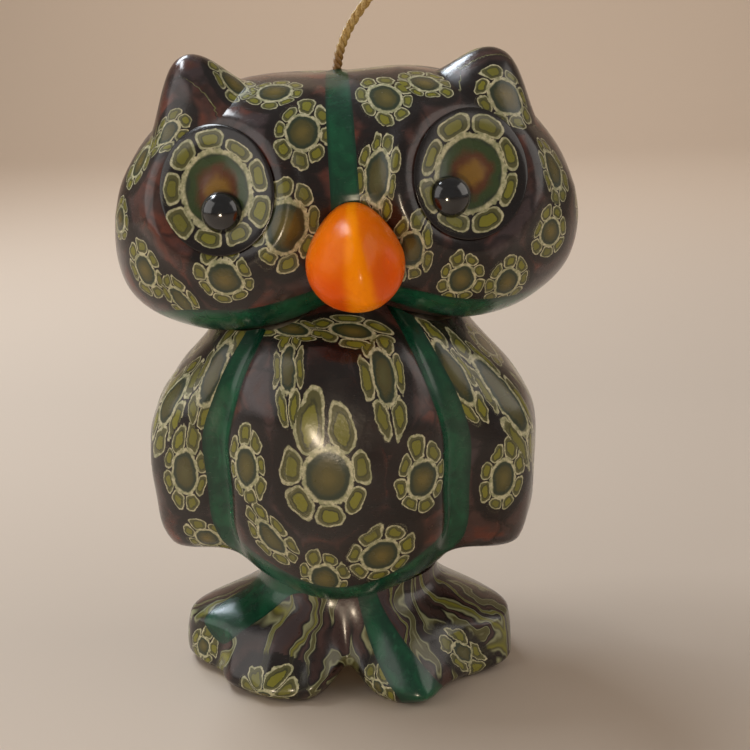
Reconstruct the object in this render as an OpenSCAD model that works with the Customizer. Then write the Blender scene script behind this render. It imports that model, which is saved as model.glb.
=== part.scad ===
// Hand-moulded owl candle: wax core lumps, patterned wax skin, beak, eyes, wick.
// Millimetres. Origin at the middle of the footprint, +Z up, the owl faces -Y.

/* [Head] */
// half width of the head before the jaw flares
head_a = 46.8; // [44:0.2:49]
// depth from the head's middle to the face
head_front = 29; // [27:0.5:32]
// depth from the head's middle to the nape
head_back = 28; // [25:0.5:31]
// half height of the head
head_c = 27; // [26:0.25:28]
// how squarely the head is rounded
head_n = 2.7; // [2.4:0.1:3]
// turn of the face towards the owl's left
head_yaw = 4; // [0:0.5:8]
// lift of the owl's left cheek
head_roll = 1.8; // [0:0.2:3]

/* [Eyes] */
// distance of each eye from the middle of the face
eye_x = 24.4; // [23:0.2:26]
// height of the eyes above the head's middle
eye_z = 6; // [4:0.5:8]
// depth of the eye sockets
socket_depth = 4.2; // [2:0.2:5]
// radius of each eye slice
eye_r = 11; // [9:0.25:12]
// thickness of each eye slice at its middle
eye_t = 1.3; // [0.8:0.1:2]
// radius of the pupil beads
pupil_r = 3.9; // [3:0.1:4.5]

/* [Beak] */
// half width of the beak
beak_a = 9.3; // [8:0.1:10.5]
// how far the beak stands out from its middle
beak_b = 12.2; // [10:0.1:14]
// half height of the beak
beak_c = 10.6; // [9:0.1:12]

/* [Ears] */
// height of the ear tufts over the brow
ear_h = 9.5; // [7:0.5:12]

/* [Body] */
// half width of the trunk between the wings
body_a = 32; // [29:0.5:34]
// depth of the breast
body_front = 33; // [30:0.5:35]
// depth of the back
body_back = 28; // [26:0.5:31]
// how far the wings stand out
wing_out = 10; // [7:0.5:12]

/* [Feet] */
// radius of the leg column
leg_r = 20; // [18:0.5:22]
// reach of the feet to each side
foot_r = 37; // [33:0.5:39]
// depth of the folds in the feet
fold = 1.1; // [0:0.1:1.6]

/* [Skin and wick] */
// thickness of the patterned skin
skin_t = 2.2; // [1.6:0.1:2.8]
// wick diameter
wick_d = 2; // [1.8:0.1:2.2]

/* [Hidden] */
shift_x = -2.19;
shift_y = 5.77;
head_at0 = [2 + shift_x, 1 + shift_y, 105];
body_at0 = [shift_x, shift_y, 54];
neck_z = 80.5;
hip_z = 22.5;
gap = 0.12;
bore_r = wick_d/2 + 0.1;
crown_el = 87;
side_az = 98;

// ---- small maths ----
function sm(a, b, x) = let(t = max(0, min(1, (x - a)/(b - a)))) t*t*(3 - 2*t);
function bell(x, w) = exp(-(x/w)*(x/w));
function mix(a, b, t) = a + (b - a)*t;
function flat(g) = [for (r = g) for (p = r) p];
function dir(az, el) = [cos(el)*sin(az), -cos(el)*cos(az), sin(el)];
function squircle(d, a, b, c, n) =
  pow(pow(abs(d.x)/a, n) + pow(abs(d.y)/b, n) + pow(abs(d.z)/c, n), -1/n);
function turned(p, yaw, roll) =
  let(x = p.x*cos(roll) - p.z*sin(roll), z = p.x*sin(roll) + p.z*cos(roll))
  [x*cos(yaw) - p.y*sin(yaw), x*sin(yaw) + p.y*cos(yaw), z];

// ---- head surface ----
// how far the face is pushed in at a point seen from the front
function face_push(x, z) =
  let(q = norm([abs(x) - eye_x, 0.95*(z - eye_z)]))
  0.12*max(z - 4, 0) + 1.6*bell(x, 7)
  + socket_depth*(1 - sm(3, 13, q)) - 1.3*bell(q - 14.2, 2.6);
function head_shaped(p) =
  let(x = p.x*(1.02 - 0.0066*p.z*(p.z > 0 ? 1 : 0.5)),
      low = sm(0, -24, p.z), fr = sm(4, -16, p.y),
      z = p.z + low*(4.5*bell(x, 13)*fr - 0.9*sm(12, 30, abs(x)))
        - 1.3*sm(10, 26, p.z)*bell(x, 16),
      y = p.y + fr*face_push(x, z))
  [x, y, z];
function head_set(p) = head_at0 + turned(p, head_yaw, head_roll);
function head_pt(az, el, in) =
  let(d = dir(az, el),
      s = squircle(d, head_a, d.y < 0 ? head_front : head_back, head_c, head_n))
  head_set(head_shaped(d*(s - in)));
// face surface straight from a front-view position near the eyes and beak
function face_y(x, z) =
  let(x0 = x/(1.02 - 0.0066*z*(z > 0 ? 1 : 0.5)),
      s = 1 - pow(abs(x0)/head_a, head_n) - pow(abs(z)/head_c, head_n),
      y0 = -head_front*pow(max(s, 0.02), 1/head_n))
  y0 + sm(4, -16, y0)*face_push(x, z);
// height of the neck seam: the throat reaches up under the beak
function seam(p) = neck_z
  + 6.3*bell(p.x - shift_x - 4, 12)*sm(0, -14, p.y - shift_y);
function neck_el(az, lo = -78, hi = 10, k = 13) =
  let(m = (lo + hi)/2, p = head_pt(az, m, 0))
  k == 0 ? m : p.z < seam(p) ? neck_el(az, m, hi, k - 1)
  : neck_el(az, lo, m, k - 1);
// elevation at which the head's surface passes a given height
function head_el(az, z, lo = -78, hi = 10, k = 13) =
  let(m = (lo + hi)/2)
  k == 0 ? m
  : head_pt(az, m, 0).z < z ? head_el(az, z, m, hi, k - 1)
  : head_el(az, z, lo, m, k - 1);
function jaw_low(az) = abs(az - 5) > 49.5 ? neck_el(az)
  : max(neck_el(az) + 0.7, head_el(az, neck_z + 7*bell(az - 5, 34)));
function jaw_top(az) = head_el(az, 90.8 - 4.4*sm(8, 48, abs(az - 3))
  + (az > 0 ? 2.5*sm(55, 92, az) : -4*sm(-50, -92, az)));
function brow_az(el) = min(60, asin(min(0.95, 2.7/(28.5*cos(el)))));

// ---- body surface ----
function wing_edge(el) = 46 - 7*sm(5, 45, el) + 4*sm(-8, -36, el);
function body_pt(az, el, in) =
  let(d = dir(az, el), a = acos(cos(az)), g = a - wing_edge(el),
      s = squircle(d, body_a, d.y < 0 ? body_front : body_back,
                   d.z > 0 ? 40 : 35, 2.25),
      w = sm(-4, 26, g)*sm(150, 112, a)*sm(-45, -29, el)
          *(1 - 0.95*sm(2, 44, el)),
      r = s + wing_out*w - 1.6*bell(g, 5)*sm(-40, -25, el)
          + 1.4*bell(a - 74, 24)*bell(el + 25, 10)
          + 2.5*bell(a, 38)*sm(-30, -55, el)
          - 3.2*bell(a, 50)*sm(36, 58, el) - in)
  body_at0 + d*r;
function top_el(az, lo = 10, hi = 80, k = 13) =
  let(m = (lo + hi)/2)
  k == 0 ? m
  : body_pt(az, m, 0).z > seam(body_pt(az, m, 0)) ? top_el(az, lo, m, k - 1)
  : top_el(az, m, hi, k - 1);
function hip_el(az, lo = -85, hi = -10, k = 13) =
  let(m = (lo + hi)/2)
  k == 0 ? m
  : body_pt(az, m, 0).z < hip_z ? hip_el(az, m, hi, k - 1)
  : hip_el(az, lo, m, k - 1);
function hem_el(az) = -46 + 17*pow(az/42, 2);
function band_w(el) = 5.2 - 0.9*sm(0, -40, el);

// ---- feet surface: u round the leg, t from the hip down to the floor ----
function foot_pt(u, t, in) =
  let(a = acos(cos(u)), v = 0.27 + 0.73*t,
      leg = 1/norm([sin(u)/leg_r, cos(u)/(leg_r - 3)]),
      rim = foot_r - 7 + 7*bell(a - 86, 26) + 1.5*bell(a - 34, 15)
            - 9.5*bell(a, 15) - 6*sm(110, 170, a),
      k = sm(0.25, 0.86, v), side = bell(a - 82, 40),
      f = mix(pow(k, 1.15), 0.82*sm(0.04, 0.52, k) + 0.18*sin(90*k), side),
      edge = max(0, (v - 0.86)/0.14),
      r = leg + (rim - leg)*f - 3*edge*edge
          + fold*k*cos(9*u + 60*t + 20) - in,
      z = v < 0.86 ? 30 - 13.5*sm(0, 0.86, v) - 13.5*v/0.86 : 3*(1 - edge),
      lift = 4.6*bell(a, 11)*sm(0.5, 0.9, v))
  [shift_x + r*sin(u), shift_y - r*cos(u),
   t == 0 ? hip_z : max(0, min(z + lift, hip_z))];
function leg_end(u) = 0.06 + 0.46*bell(u + 64, 15);
function toe_in(t) = 8 + 17*t;
function toe_out(t) = 22 + 24*t;

// ---- solids from grids of points ----
// curved slab: rows run upwards, columns run to the owl's left
module slab(o, n) {
  r = len(o); c = len(o[0]); m = r*c;
  polyhedron(concat(flat(o), flat(n)), concat(
    [for (i = [0:r-2], j = [0:c-2]) let(a = i*c + j) each
      [[a, a+c, a+c+1], [a, a+c+1, a+1],
       [m+a, m+a+c+1, m+a+c], [m+a, m+a+1, m+a+c+1]]],
    [for (j = [0:c-2]) let(t = (r-1)*c + j) each
      [[j, j+1, m+j+1], [j, m+j+1, m+j],
       [t+1, t, m+t], [t+1, m+t, m+t+1]]],
    [for (i = [0:r-2]) let(a = i*c, b = i*c + c - 1) each
      [[a+c, a, m+a], [a+c, m+a, m+a+c],
       [b, b+c, m+b+c], [b, m+b+c, m+b]]]), convexity = 6);
}
// button: rings run outwards round a middle point, top and underside
module button(o, n, co, cn) {
  r = len(o); c = len(o[0]); m = r*c;
  polyhedron(concat(flat(o), flat(n), [co, cn]), concat(
    [for (i = [0:r-2], j = [0:c-1]) let(a = i*c + j, b = i*c + (j+1)%c) each
      [[a, b, b+c], [a, b+c, a+c],
       [m+a, m+b+c, m+b], [m+a, m+a+c, m+b+c]]],
    [for (j = [0:c-1]) let(d = (r-1)*c + j, e = (r-1)*c + (j+1)%c,
                           k = (j+1)%c) each
      [[d, e, m+e], [d, m+e, m+d],
       [2*m, k, j], [2*m+1, m+j, m+k]]]), convexity = 6);
}
// ring body: rings run upwards outside, the last joins the first down a bore
module ring_body(o) {
  r = len(o); c = len(o[0]);
  polyhedron(flat(o), [for (i = [0:r-1], j = [0:c-1])
    let(a = i*c + j, b = i*c + (j+1)%c, d = ((i+1)%r)*c + j,
        e = ((i+1)%r)*c + (j+1)%c) each [[a, d, e], [a, e, b]]],
    convexity = 6);
}
// lump: rings run upwards, closed by a point at each end
module lump(o, lo, hi) {
  r = len(o); c = len(o[0]); m = r*c;
  polyhedron(concat(flat(o), [lo, hi]), concat(
    [for (i = [0:r-2], j = [0:c-1]) let(a = i*c + j, b = i*c + (j+1)%c) each
      [[a, a+c, b+c], [a, b+c, b]]],
    [for (j = [0:c-1]) let(k = (j+1)%c, t = m - c) each
      [[m, j, k], [m+1, t+k, t+j]]]), convexity = 6);
}
// skin panel of the head between two edges and two heights
module head_panel(a0, a1, e0, e1, rows, cols) {
  g = function(in) [for (i = [0:rows]) [for (j = [0:cols])
    let(s = i/rows, e = mix(-30, crown_el, s),
        az0 = mix(a0(e), a1(e), j/cols),
        el = mix(e0(az0), e1, s),
        az = mix(a0(el), a1(el), j/cols),
        el2 = mix(e0(az), e1, s)) head_pt(az, el2, in)]];
  slab(g(0), g(skin_t));
}
module head_strip(a0, a1, e0, e1, rows, cols) {
  g = function(in) [for (i = [0:rows]) [for (j = [0:cols])
    let(az = mix(a0, a1, j/cols)) head_pt(az, mix(e0(az), e1(az), i/rows), in)]];
  slab(g(0), g(skin_t));
}
module body_panel(a0, a1, e0, e1, rows, cols) {
  g = function(in) [for (i = [0:rows]) [for (j = [0:cols])
    let(s = i/rows, m = mix(-40, 45, s),
        el0 = mix(e0(mix(a0(m), a1(m), j/cols)), e1(mix(a0(m), a1(m), j/cols)), s),
        az = mix(a0(el0), a1(el0), j/cols),
        el = mix(e0(az), e1(az), s)) body_pt(az, el, in)]];
  slab(g(0), g(skin_t));
}
module foot_panel(u0, u1, t0, t1, rows, cols) {
  g = function(in) [for (i = [0:rows]) [for (j = [0:cols])
    let(s = 1 - i/rows, um = mix(u0(s), u1(s), j/cols),
        t = mix(t0(um), t1(um), s), u = mix(u0(t), u1(t), j/cols))
    foot_pt(u, mix(t0(u), t1(u), s), in)]];
  slab(g(0), g(skin_t));
}

// ---- wick line ----
crown = head_pt(0, 90, 0);
wick_pts = [[0, 0, -0.4], [0.9, 0, 4.2], [3.4, 0.2, 9.4], [7.6, 0.6, 14.8],
            [12.8, 1.2, 19.4], [18.6, 1.8, 22.4], [23, 2.2, 23.6]];
function wick_at(s) =
  let(n = len(wick_pts) - 1, k = min(floor(s*n), n - 1), f = s*n - k,
      p0 = wick_pts[max(k-1, 0)], p1 = wick_pts[k], p2 = wick_pts[k+1],
      p3 = wick_pts[min(k+2, n)])
  crown + (2*p1 + (p2 - p0)*f + (2*p0 - 5*p1 + 4*p2 - p3)*f*f
           + (3*p1 - p0 - 3*p2 + p3)*f*f*f)/2;
function wick_ring(s) =
  let(p = wick_at(s), q = wick_at(min(s + 0.01, 1)) - wick_at(max(s - 0.01, 0)),
      t = q/norm(q), e = cross([0, 1, 0], t), u = e/norm(e), v = cross(t, u))
  [for (k = [0:9]) p + wick_d/2*(cos(36*k)*u + sin(36*k)*v)];

// ---- core lumps ----
function bore(z) = [for (j = [0:31]) let(a = j*360/32 - 180)
  [crown.x + bore_r*sin(a), crown.y - bore_r*cos(a), z]];
module head_core() color([0.80, 0.72, 0.52])
  ring_body(concat([bore(neck_z)],
    [for (i = [0:17]) [for (j = [0:31])
      let(p = head_pt(j*360/32 - 180, mix(-76, 80, i/17), skin_t + gap))
      [p.x, p.y, max(p.z, seam(p) + (seam(p) > neck_z + 0.1 ? 0.3 : 0))]]],
    [bore(crown.z - skin_t - 0.3)]));
module body_core() color([0.80, 0.72, 0.52])
  ring_body(concat([bore(hip_z)],
    [for (i = [0:19]) [for (j = [0:31])
      let(p = body_pt(j*360/32 - 180, mix(-78, 78, i/19), skin_t + gap))
      [p.x, p.y, max(hip_z, min(p.z, seam(p)))]]],
    [bore(neck_z)]));
module feet_core() color([0.80, 0.72, 0.52])
  ring_body(concat([bore(0)],
    [for (i = [0:11]) [for (j = [0:31])
      foot_pt(j*360/32 - 180, 1 - i/11, skin_t + gap)]],
    [bore(hip_z)]));

// ---- wick ----
module wick_buried() color([0.82, 0.76, 0.6])
  translate([crown.x, crown.y, 0.3])
    cylinder(d = wick_d, h = crown.z - 0.9, $fn = 24);
module wick() color([0.78, 0.64, 0.36])
  lump([for (i = [0:10]) wick_ring(i/10)], wick_at(0), wick_at(1));

// ---- head skin ----
module brow_band() color([0.07, 0.30, 0.20])
  head_panel(function(e) -brow_az(e), function(e) brow_az(e),
             function(a) jaw_top(a), crown_el, 18, 3);
module face_sheet_left() color([0.28, 0.20, 0.16])
  head_panel(function(e) -side_az, function(e) -brow_az(e),
             function(a) jaw_top(a), crown_el, 20, 22);
module face_sheet_right() color([0.28, 0.20, 0.16])
  head_panel(function(e) brow_az(e), function(e) side_az,
             function(a) jaw_top(a), crown_el, 20, 22);
module head_back_sheet() color([0.28, 0.20, 0.16])
  head_panel(function(e) side_az, function(e) 360 - side_az,
             function(a) neck_el(a), crown_el, 16, 20);
module chin_sheet() color([0.28, 0.20, 0.16])
  head_strip(-44, 54, function(a) neck_el(a), function(a) jaw_low(a), 3, 18);
module jaw_band_left() color([0.07, 0.30, 0.20])
  head_strip(-side_az, 0, function(a) jaw_low(a), function(a) jaw_top(a), 2, 18);
module jaw_band_right() color([0.07, 0.30, 0.20])
  head_strip(0, side_az, function(a) jaw_low(a), function(a) jaw_top(a), 2, 18);

// ---- eyes ----
function eye_pt(s, x, z, h) = head_set([s*x, face_y(s*x, z) - h, z]);
function slice_h(q) = 0.06 + (q > 0.999 ? 0.3 : 0.3 + eye_t*sqrt(1 - q*q));
module eye_slice(s) {
  g = function(top) [for (i = [1:5]) [for (j = [0:23]) let(q = i/5, a = j*15)
    eye_pt(1, s*eye_x + eye_r*q*cos(a), eye_z + eye_r*q*sin(a),
           top ? slice_h(q) : 0.06)]];
  button(g(true), g(false), eye_pt(1, s*eye_x, eye_z, slice_h(0)),
         eye_pt(1, s*eye_x, eye_z, 0.06));
}
module pupil(s, dx, dz) {
  cx = s*eye_x + dx; cz = eye_z + dz;
  h0 = function(x, z) slice_h(min(0.99, norm([x - s*eye_x, z - eye_z])/eye_r)) + 0.05;
  g = function(top) [for (i = [1:4]) [for (j = [0:19])
    let(q = sin(i*22.5), a = j*18, x = cx + pupil_r*q*cos(a),
        z = cz + pupil_r*q*sin(a))
    eye_pt(1, x, z, h0(x, z) + (top ? (i > 3 ? 0.35 : 0.35 + 0.72*pupil_r*sqrt(1 - q*q)) : 0))]];
  button(g(true), g(false),
         eye_pt(1, cx, cz, h0(cx, cz) + 0.35 + 0.72*pupil_r),
         eye_pt(1, cx, cz, h0(cx, cz)));
}
module eye_slice_left() color([0.45, 0.42, 0.20]) eye_slice(-1);
module eye_slice_right() color([0.45, 0.42, 0.20]) eye_slice(1);
module pupil_left() color([0.03, 0.03, 0.03]) pupil(-1, 1.4, -4.2);
module pupil_right() color([0.03, 0.03, 0.03]) pupil(1, -3.3, -3.6);

// ---- beak ----
beak_x = 1.1;
function beak_pt(az, el) =
  let(d = dir(az, el), p = d*squircle(d, beak_a, beak_b, beak_c, 2.2),
      x = p.x*(p.z < 0 ? (1 - 0.02*p.z)*(1 - 0.3*pow(p.z/beak_c, 2))
                   : 1 - 0.032*p.z),
      y = p.y - 0.2*(-p.z - 2) - 30.2,
      z = p.z - 7)
  head_set([x + beak_x, min(y, face_y(x + beak_x, z) - 0.1), z]);
module beak() color([0.90, 0.40, 0.03])
  lump([for (i = [1:13]) [for (j = [0:23]) beak_pt(j*15, i*180/14 - 90)]],
       beak_pt(0, -90), beak_pt(0, 90));

// ---- ears ----
module ear(s, az0, el0, h) {
  g = function(k) [for (i = [1:6]) [for (j = [0:19]) let(q = i/6, a = j*18)
    head_pt(az0 + 21*q*cos(a), el0 + 12*q*sin(a), 0)
    + [-s*0.06, 0.05, 1]*(0.1 + k*(0.35 + h*pow(1 - q, 1.1)))]];
  c = head_pt(az0, el0, 0);
  button(g(1), g(0), c + [-s*0.06, 0.05, 1]*(0.45 + h), c + [0, 0, 0.1]);
}
module ear_tuft_left() color([0.28, 0.20, 0.16]) ear(-1, -70, 31, ear_h);
module ear_tuft_right() color([0.28, 0.20, 0.16]) ear(1, 75, 29, ear_h - 1);

// ---- body skin ----
function edge_l(e) = -wing_edge(e) + band_w(e);
function edge_r(e) = wing_edge(e) - band_w(e);
module breast_sheet() color([0.28, 0.20, 0.16])
  body_panel(function(e) edge_l(e), function(e) edge_r(e),
             function(a) hem_el(a), function(a) top_el(a), 18, 18);
module belly_hem() color([0.07, 0.30, 0.20])
  body_panel(function(e) edge_l(e), function(e) edge_r(e),
             function(a) hip_el(a), function(a) hem_el(a), 3, 18);
module wing_band_left() color([0.07, 0.30, 0.20])
  body_panel(function(e) -wing_edge(e) - band_w(e), function(e) edge_l(e),
             function(a) hip_el(a), function(a) top_el(a), 24, 3);
module wing_band_right() color([0.07, 0.30, 0.20])
  body_panel(function(e) edge_r(e), function(e) wing_edge(e) + band_w(e),
             function(a) hip_el(a), function(a) top_el(a), 24, 3);
module wing_left() color([0.28, 0.20, 0.16])
  body_panel(function(e) -124, function(e) -wing_edge(e) - band_w(e),
             function(a) hip_el(a), function(a) top_el(a), 24, 14);
module wing_right() color([0.28, 0.20, 0.16])
  body_panel(function(e) wing_edge(e) + band_w(e), function(e) 124,
             function(a) hip_el(a), function(a) top_el(a), 24, 14);
module back_sheet() color([0.28, 0.20, 0.16])
  body_panel(function(e) 124, function(e) 236,
             function(a) hip_el(a), function(a) top_el(a), 18, 12);

// ---- feet skin ----
module foot_sheet_left() color([0.28, 0.20, 0.16])
  foot_panel(function(t) -150, function(t) -12, function(u) leg_end(u), function(u) 1, 12, 28);
module leg_band() color([0.07, 0.30, 0.20])
  foot_panel(function(t) -150, function(t) -12, function(u) 0, function(u) leg_end(u), 3, 28);
module instep_sheet() color([0.28, 0.20, 0.16])
  foot_panel(function(t) -12, function(t) toe_in(t), function(u) 0, function(u) 1, 12, 6);
module toe_band() color([0.07, 0.30, 0.20])
  foot_panel(function(t) toe_in(t), function(t) toe_out(t), function(u) 0, function(u) 1, 12, 4);
module foot_sheet_right() color([0.28, 0.20, 0.16])
  foot_panel(function(t) toe_out(t), function(t) 150, function(u) 0, function(u) 1, 12, 22);
module heel_sheet() color([0.28, 0.20, 0.16])
  foot_panel(function(t) 150, function(t) 210, function(u) 0, function(u) 1, 10, 8);

head_core();
body_core();
feet_core();
wick_buried();
wick();
brow_band();
face_sheet_left();
face_sheet_right();
head_back_sheet();
chin_sheet();
jaw_band_left();
jaw_band_right();
eye_slice_left();
eye_slice_right();
pupil_left();
pupil_right();
beak();
ear_tuft_left();
ear_tuft_right();
breast_sheet();
wing_left();
wing_right();
wing_band_left();
wing_band_right();
back_sheet();
belly_hem();
foot_sheet_left();
foot_sheet_right();
toe_band();
leg_band();
instep_sheet();
heel_sheet();
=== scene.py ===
"""Looks of a hand-moulded owl candle: hard wax skins with flower slices, laid over plain wax cores.

Every surface here is worked out in millimetres from the same shapes as the frame,
then put into a mesh in metres.
"""

import math

import bpy
import numpy as np
from mathutils import Matrix, Vector


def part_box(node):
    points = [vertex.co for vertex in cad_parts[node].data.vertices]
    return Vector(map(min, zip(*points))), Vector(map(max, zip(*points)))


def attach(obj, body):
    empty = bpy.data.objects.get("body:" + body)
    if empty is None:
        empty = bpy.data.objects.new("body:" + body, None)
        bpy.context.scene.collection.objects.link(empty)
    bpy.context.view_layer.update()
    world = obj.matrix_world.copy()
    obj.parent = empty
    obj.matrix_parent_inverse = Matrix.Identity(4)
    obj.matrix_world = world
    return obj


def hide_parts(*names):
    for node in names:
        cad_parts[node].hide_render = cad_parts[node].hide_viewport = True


bl_info = {
    "name": "Owl candle looks",
    "version": (1, 0, 0),
    "blender": (4, 5, 0),
    "location": "3D View > Sidebar > Owl candle",
    "description": "Builds the wax skins, eyes, beak, ears and wick of a hand-moulded owl candle",
    "category": "Object",
}

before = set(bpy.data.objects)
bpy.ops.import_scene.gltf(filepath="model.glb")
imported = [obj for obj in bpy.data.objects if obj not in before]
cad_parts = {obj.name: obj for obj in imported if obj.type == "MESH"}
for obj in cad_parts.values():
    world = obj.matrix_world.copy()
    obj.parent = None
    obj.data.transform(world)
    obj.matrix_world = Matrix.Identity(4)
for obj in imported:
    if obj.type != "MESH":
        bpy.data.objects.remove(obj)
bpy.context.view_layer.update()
MM = 0.001

# Where the masses sit, in millimetres.
SHIFT_X, SHIFT_Y = -2.19, 5.77
NECK_Z, HIP_Z = 80.5, 22.5
CROWN_EL = 87.9
SIDE_AZ = 98
EYE_X, EYE_Z, EYE_R = 24.4, 6.0, 11.0


# ---------------------------------------------------------------- shapes


def smooth(lo, hi, x):
    """Rises from 0 at lo to 1 at hi with no slope at either end."""
    t = np.clip((x - lo) / (hi - lo), 0, 1)
    return t * t * (3 - 2 * t)


def hump(x, width):
    """A bell curve: 1 at nought, falling away over the width."""
    return np.exp(-((x / width) ** 2))


def ray(az, el):
    """The unit direction az degrees round from the front, towards +X, and el degrees up."""
    az, el = np.radians(az), np.radians(el)
    return np.stack([np.cos(el) * np.sin(az), -np.cos(el) * np.cos(az), np.sin(el)], -1)


def away(az):
    """How many degrees az is from the front, either way round."""
    return np.abs((az + 180) % 360 - 180)


def lumps(points):
    """Soft unevenness left by fingers: the mean of eight seeded sine waves, 9 to 30 mm long."""
    rng = np.random.default_rng(11)
    heading = rng.normal(size=(8, 3))
    heading /= np.linalg.norm(heading, axis=1)[:, None]
    long = np.linspace(9, 30, 8)
    start = rng.uniform(0, 6.28, 8)
    waves = np.sin(points @ (heading / long[:, None] * 2 * np.pi).T + start)
    return (waves * np.sqrt(long / 30)).sum(-1) / 3.2


def lump_height():
    return bpy.context.scene.owl_sizes.lump_height * 1000


def set_on_neck(x, y, z):
    """The head's small turn and lean, then its place above the neck."""
    lean, turn = np.radians(1.8), np.radians(4)
    x, z = x * np.cos(lean) - z * np.sin(lean), x * np.sin(lean) + z * np.cos(lean)
    x, y = x * np.cos(turn) - y * np.sin(turn), x * np.sin(turn) + y * np.cos(turn)
    return np.stack([x + 2 + SHIFT_X, y + 1 + SHIFT_Y, z + 105], -1)


def face_push(x, z):
    """How far the face is pressed in: deep eye hollows with raised rings round them, and a dip between."""
    q = np.hypot(np.abs(x) - EYE_X, 0.95 * (z - EYE_Z))
    hollow = 4.2 * (1 - smooth(3, 13, q)) - 1.3 * hump(q - 14.2, 2.6)
    return 0.12 * np.maximum(z - 4, 0) + 1.6 * hump(x, 7) + hollow


def head(az, el, inset=0.0):
    """A rounded box of power 2.7, wider low down, chin lifted, face pressed in, with finger lumps."""
    d = ray(az, el)
    n = 2.7
    deep = np.where(d[..., 1] < 0, 29.0, 28.0)
    s = (
        np.abs(d[..., 0] / 46.8) ** n
        + np.abs(d[..., 1] / deep) ** n
        + np.abs(d[..., 2] / 27) ** n
    ) ** (-1 / n) - inset
    px, py, pz = (d * s[..., None])[..., 0], (d * s[..., None])[..., 1], (d * s[..., None])[..., 2]
    x = px * (1.02 - 0.0066 * pz * np.where(pz > 0, 1, 0.5))
    low, front = smooth(0, -24, pz), smooth(4, -16, py)
    z = pz + low * (4.5 * hump(x, 13) * front - 0.9 * smooth(12, 30, np.abs(x)))
    z = z - 1.3 * smooth(10, 26, pz) * hump(x, 16)
    y = py + front * face_push(x, z)
    at_eye = np.hypot(np.abs(x) - EYE_X, 0.95 * (z - EYE_Z))
    at_beak = np.hypot((x - 1.1) / 9.3, (z + 7) / 12.2)
    free = 1 - front * (1 - smooth(11.5, 15.5, at_eye) * smooth(0.95, 1.35, at_beak))
    points = set_on_neck(x, y, z)
    collar = 0.5 * hump(90 - el, 5.0)
    return points + d * (lump_height() * lumps(points) * free + collar)[..., None]


def wing_edge(el):
    return 46 - 7 * smooth(5, 45, el) + 4 * smooth(-8, -36, el)


def band_w(el):
    return 5.2 - 0.9 * smooth(0, -40, el)


def body(az, el, inset=0.0):
    """A rounded pear of power 2.25 with folded wings swelling beyond the wing edge and a groove along it."""
    d = ray(az, el)
    a = away(az)
    g = a - wing_edge(el)
    n = 2.25
    deep = np.where(d[..., 1] < 0, 33.0, 28.0)
    tall = np.where(d[..., 2] > 0, 40.0, 35.0)
    s = (
        np.abs(d[..., 0] / 32) ** n + np.abs(d[..., 1] / deep) ** n + np.abs(d[..., 2] / tall) ** n
    ) ** (-1 / n)
    wing = smooth(-4, 26, g) * smooth(150, 112, a) * smooth(-45, -29, el)
    wing = wing * (1 - 0.95 * smooth(2, 44, el))
    r = s + 10 * wing - 1.6 * hump(g, 5) * smooth(-40, -25, el)
    r = r + 1.4 * hump(a - 74, 24) * hump(el + 25, 10) + 2.5 * hump(a, 38) * smooth(-30, -55, el)
    r = r - 3.2 * hump(a, 50) * smooth(36, 58, el) - inset
    points = np.array([SHIFT_X, SHIFT_Y, 54.0]) + d * r[..., None]
    return points + d * (lump_height() * 1.2 * lumps(points))[..., None]


def foot(u, t, inset=0.0):
    """A short leg that flares to a rim with two round feet, notched between the toes, with a worked arch."""
    ur, a = np.radians(u), away(u)
    v = 0.27 + 0.73 * t
    leg = 1 / np.hypot(np.sin(ur) / 20, np.cos(ur) / 17)
    rim = 30 + 7 * hump(a - 86, 26) + 1.5 * hump(a - 34, 15) - 9.5 * hump(a, 15)
    rim = rim - 6 * smooth(110, 170, a)
    k, edge = smooth(0.25, 0.86, v), np.maximum(0, (v - 0.86) / 0.14)
    side = hump(a - 82, 40)
    flare = (1 - side) * k**1.15 + side * (0.82 * smooth(0.04, 0.52, k) + 0.18 * np.sin(k * np.pi / 2))
    folds = np.cos(np.radians(9 * u + 60 * t + 20))
    creases = 0.7 * k * smooth(1, 0.8, t) * np.sin(np.radians(17 * u - 90 * t)) * hump(a - 20, 60)
    r = leg + (rim - leg) * flare - 3 * edge**2 + 1.1 * k * folds + creases - inset
    z = np.where(v < 0.86, 30 - 13.5 * smooth(0, 0.86, v) - 13.5 * v / 0.86, 3 * (1 - edge))
    z = np.clip(z + 4.6 * hump(a, 11) * smooth(0.5, 0.9, v), 0, HIP_Z)
    return np.stack([SHIFT_X + r * np.sin(ur), SHIFT_Y - r * np.cos(ur), z], -1)


def seam(points):
    """The height of the seam between head and body: level, with a rise under the beak."""
    x, y = points[..., 0] - SHIFT_X, points[..., 1] - SHIFT_Y
    return NECK_Z + 6.3 * hump(x - 4, 12) * smooth(0, -14, y)


def halve(low, high, shape, is_low, steps=16):
    """Closes in on a limit by halving: the low end rises where is_low holds, the high end falls elsewhere."""
    lo, hi = np.full(shape, float(low)), np.full(shape, float(high))
    for _ in range(steps):
        mid = (lo + hi) / 2
        below = is_low(mid)
        lo, hi = np.where(below, mid, lo), np.where(below, hi, mid)
    return (lo + hi) / 2


def neck_el(az):
    return halve(-78, 10, az.shape, lambda el: head(az, el)[..., 2] < seam(head(az, el)))


def head_el(az, z):
    return halve(-78, 60, az.shape, lambda el: head(az, el)[..., 2] < z)


def jaw_low(az):
    lifted = head_el(az, NECK_Z + 7 * hump(az - 5, 34))
    return np.where(np.abs(az - 5) > 49.5, neck_el(az), np.maximum(neck_el(az) + 0.7, lifted))


def jaw_top(az):
    z = 90.8 - 4.4 * smooth(8, 48, np.abs(az - 3))
    z = z + np.where(az > 0, 2.5 * smooth(55, 92, az), -4 * smooth(-50, -92, az))
    return head_el(az, z)


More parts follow.
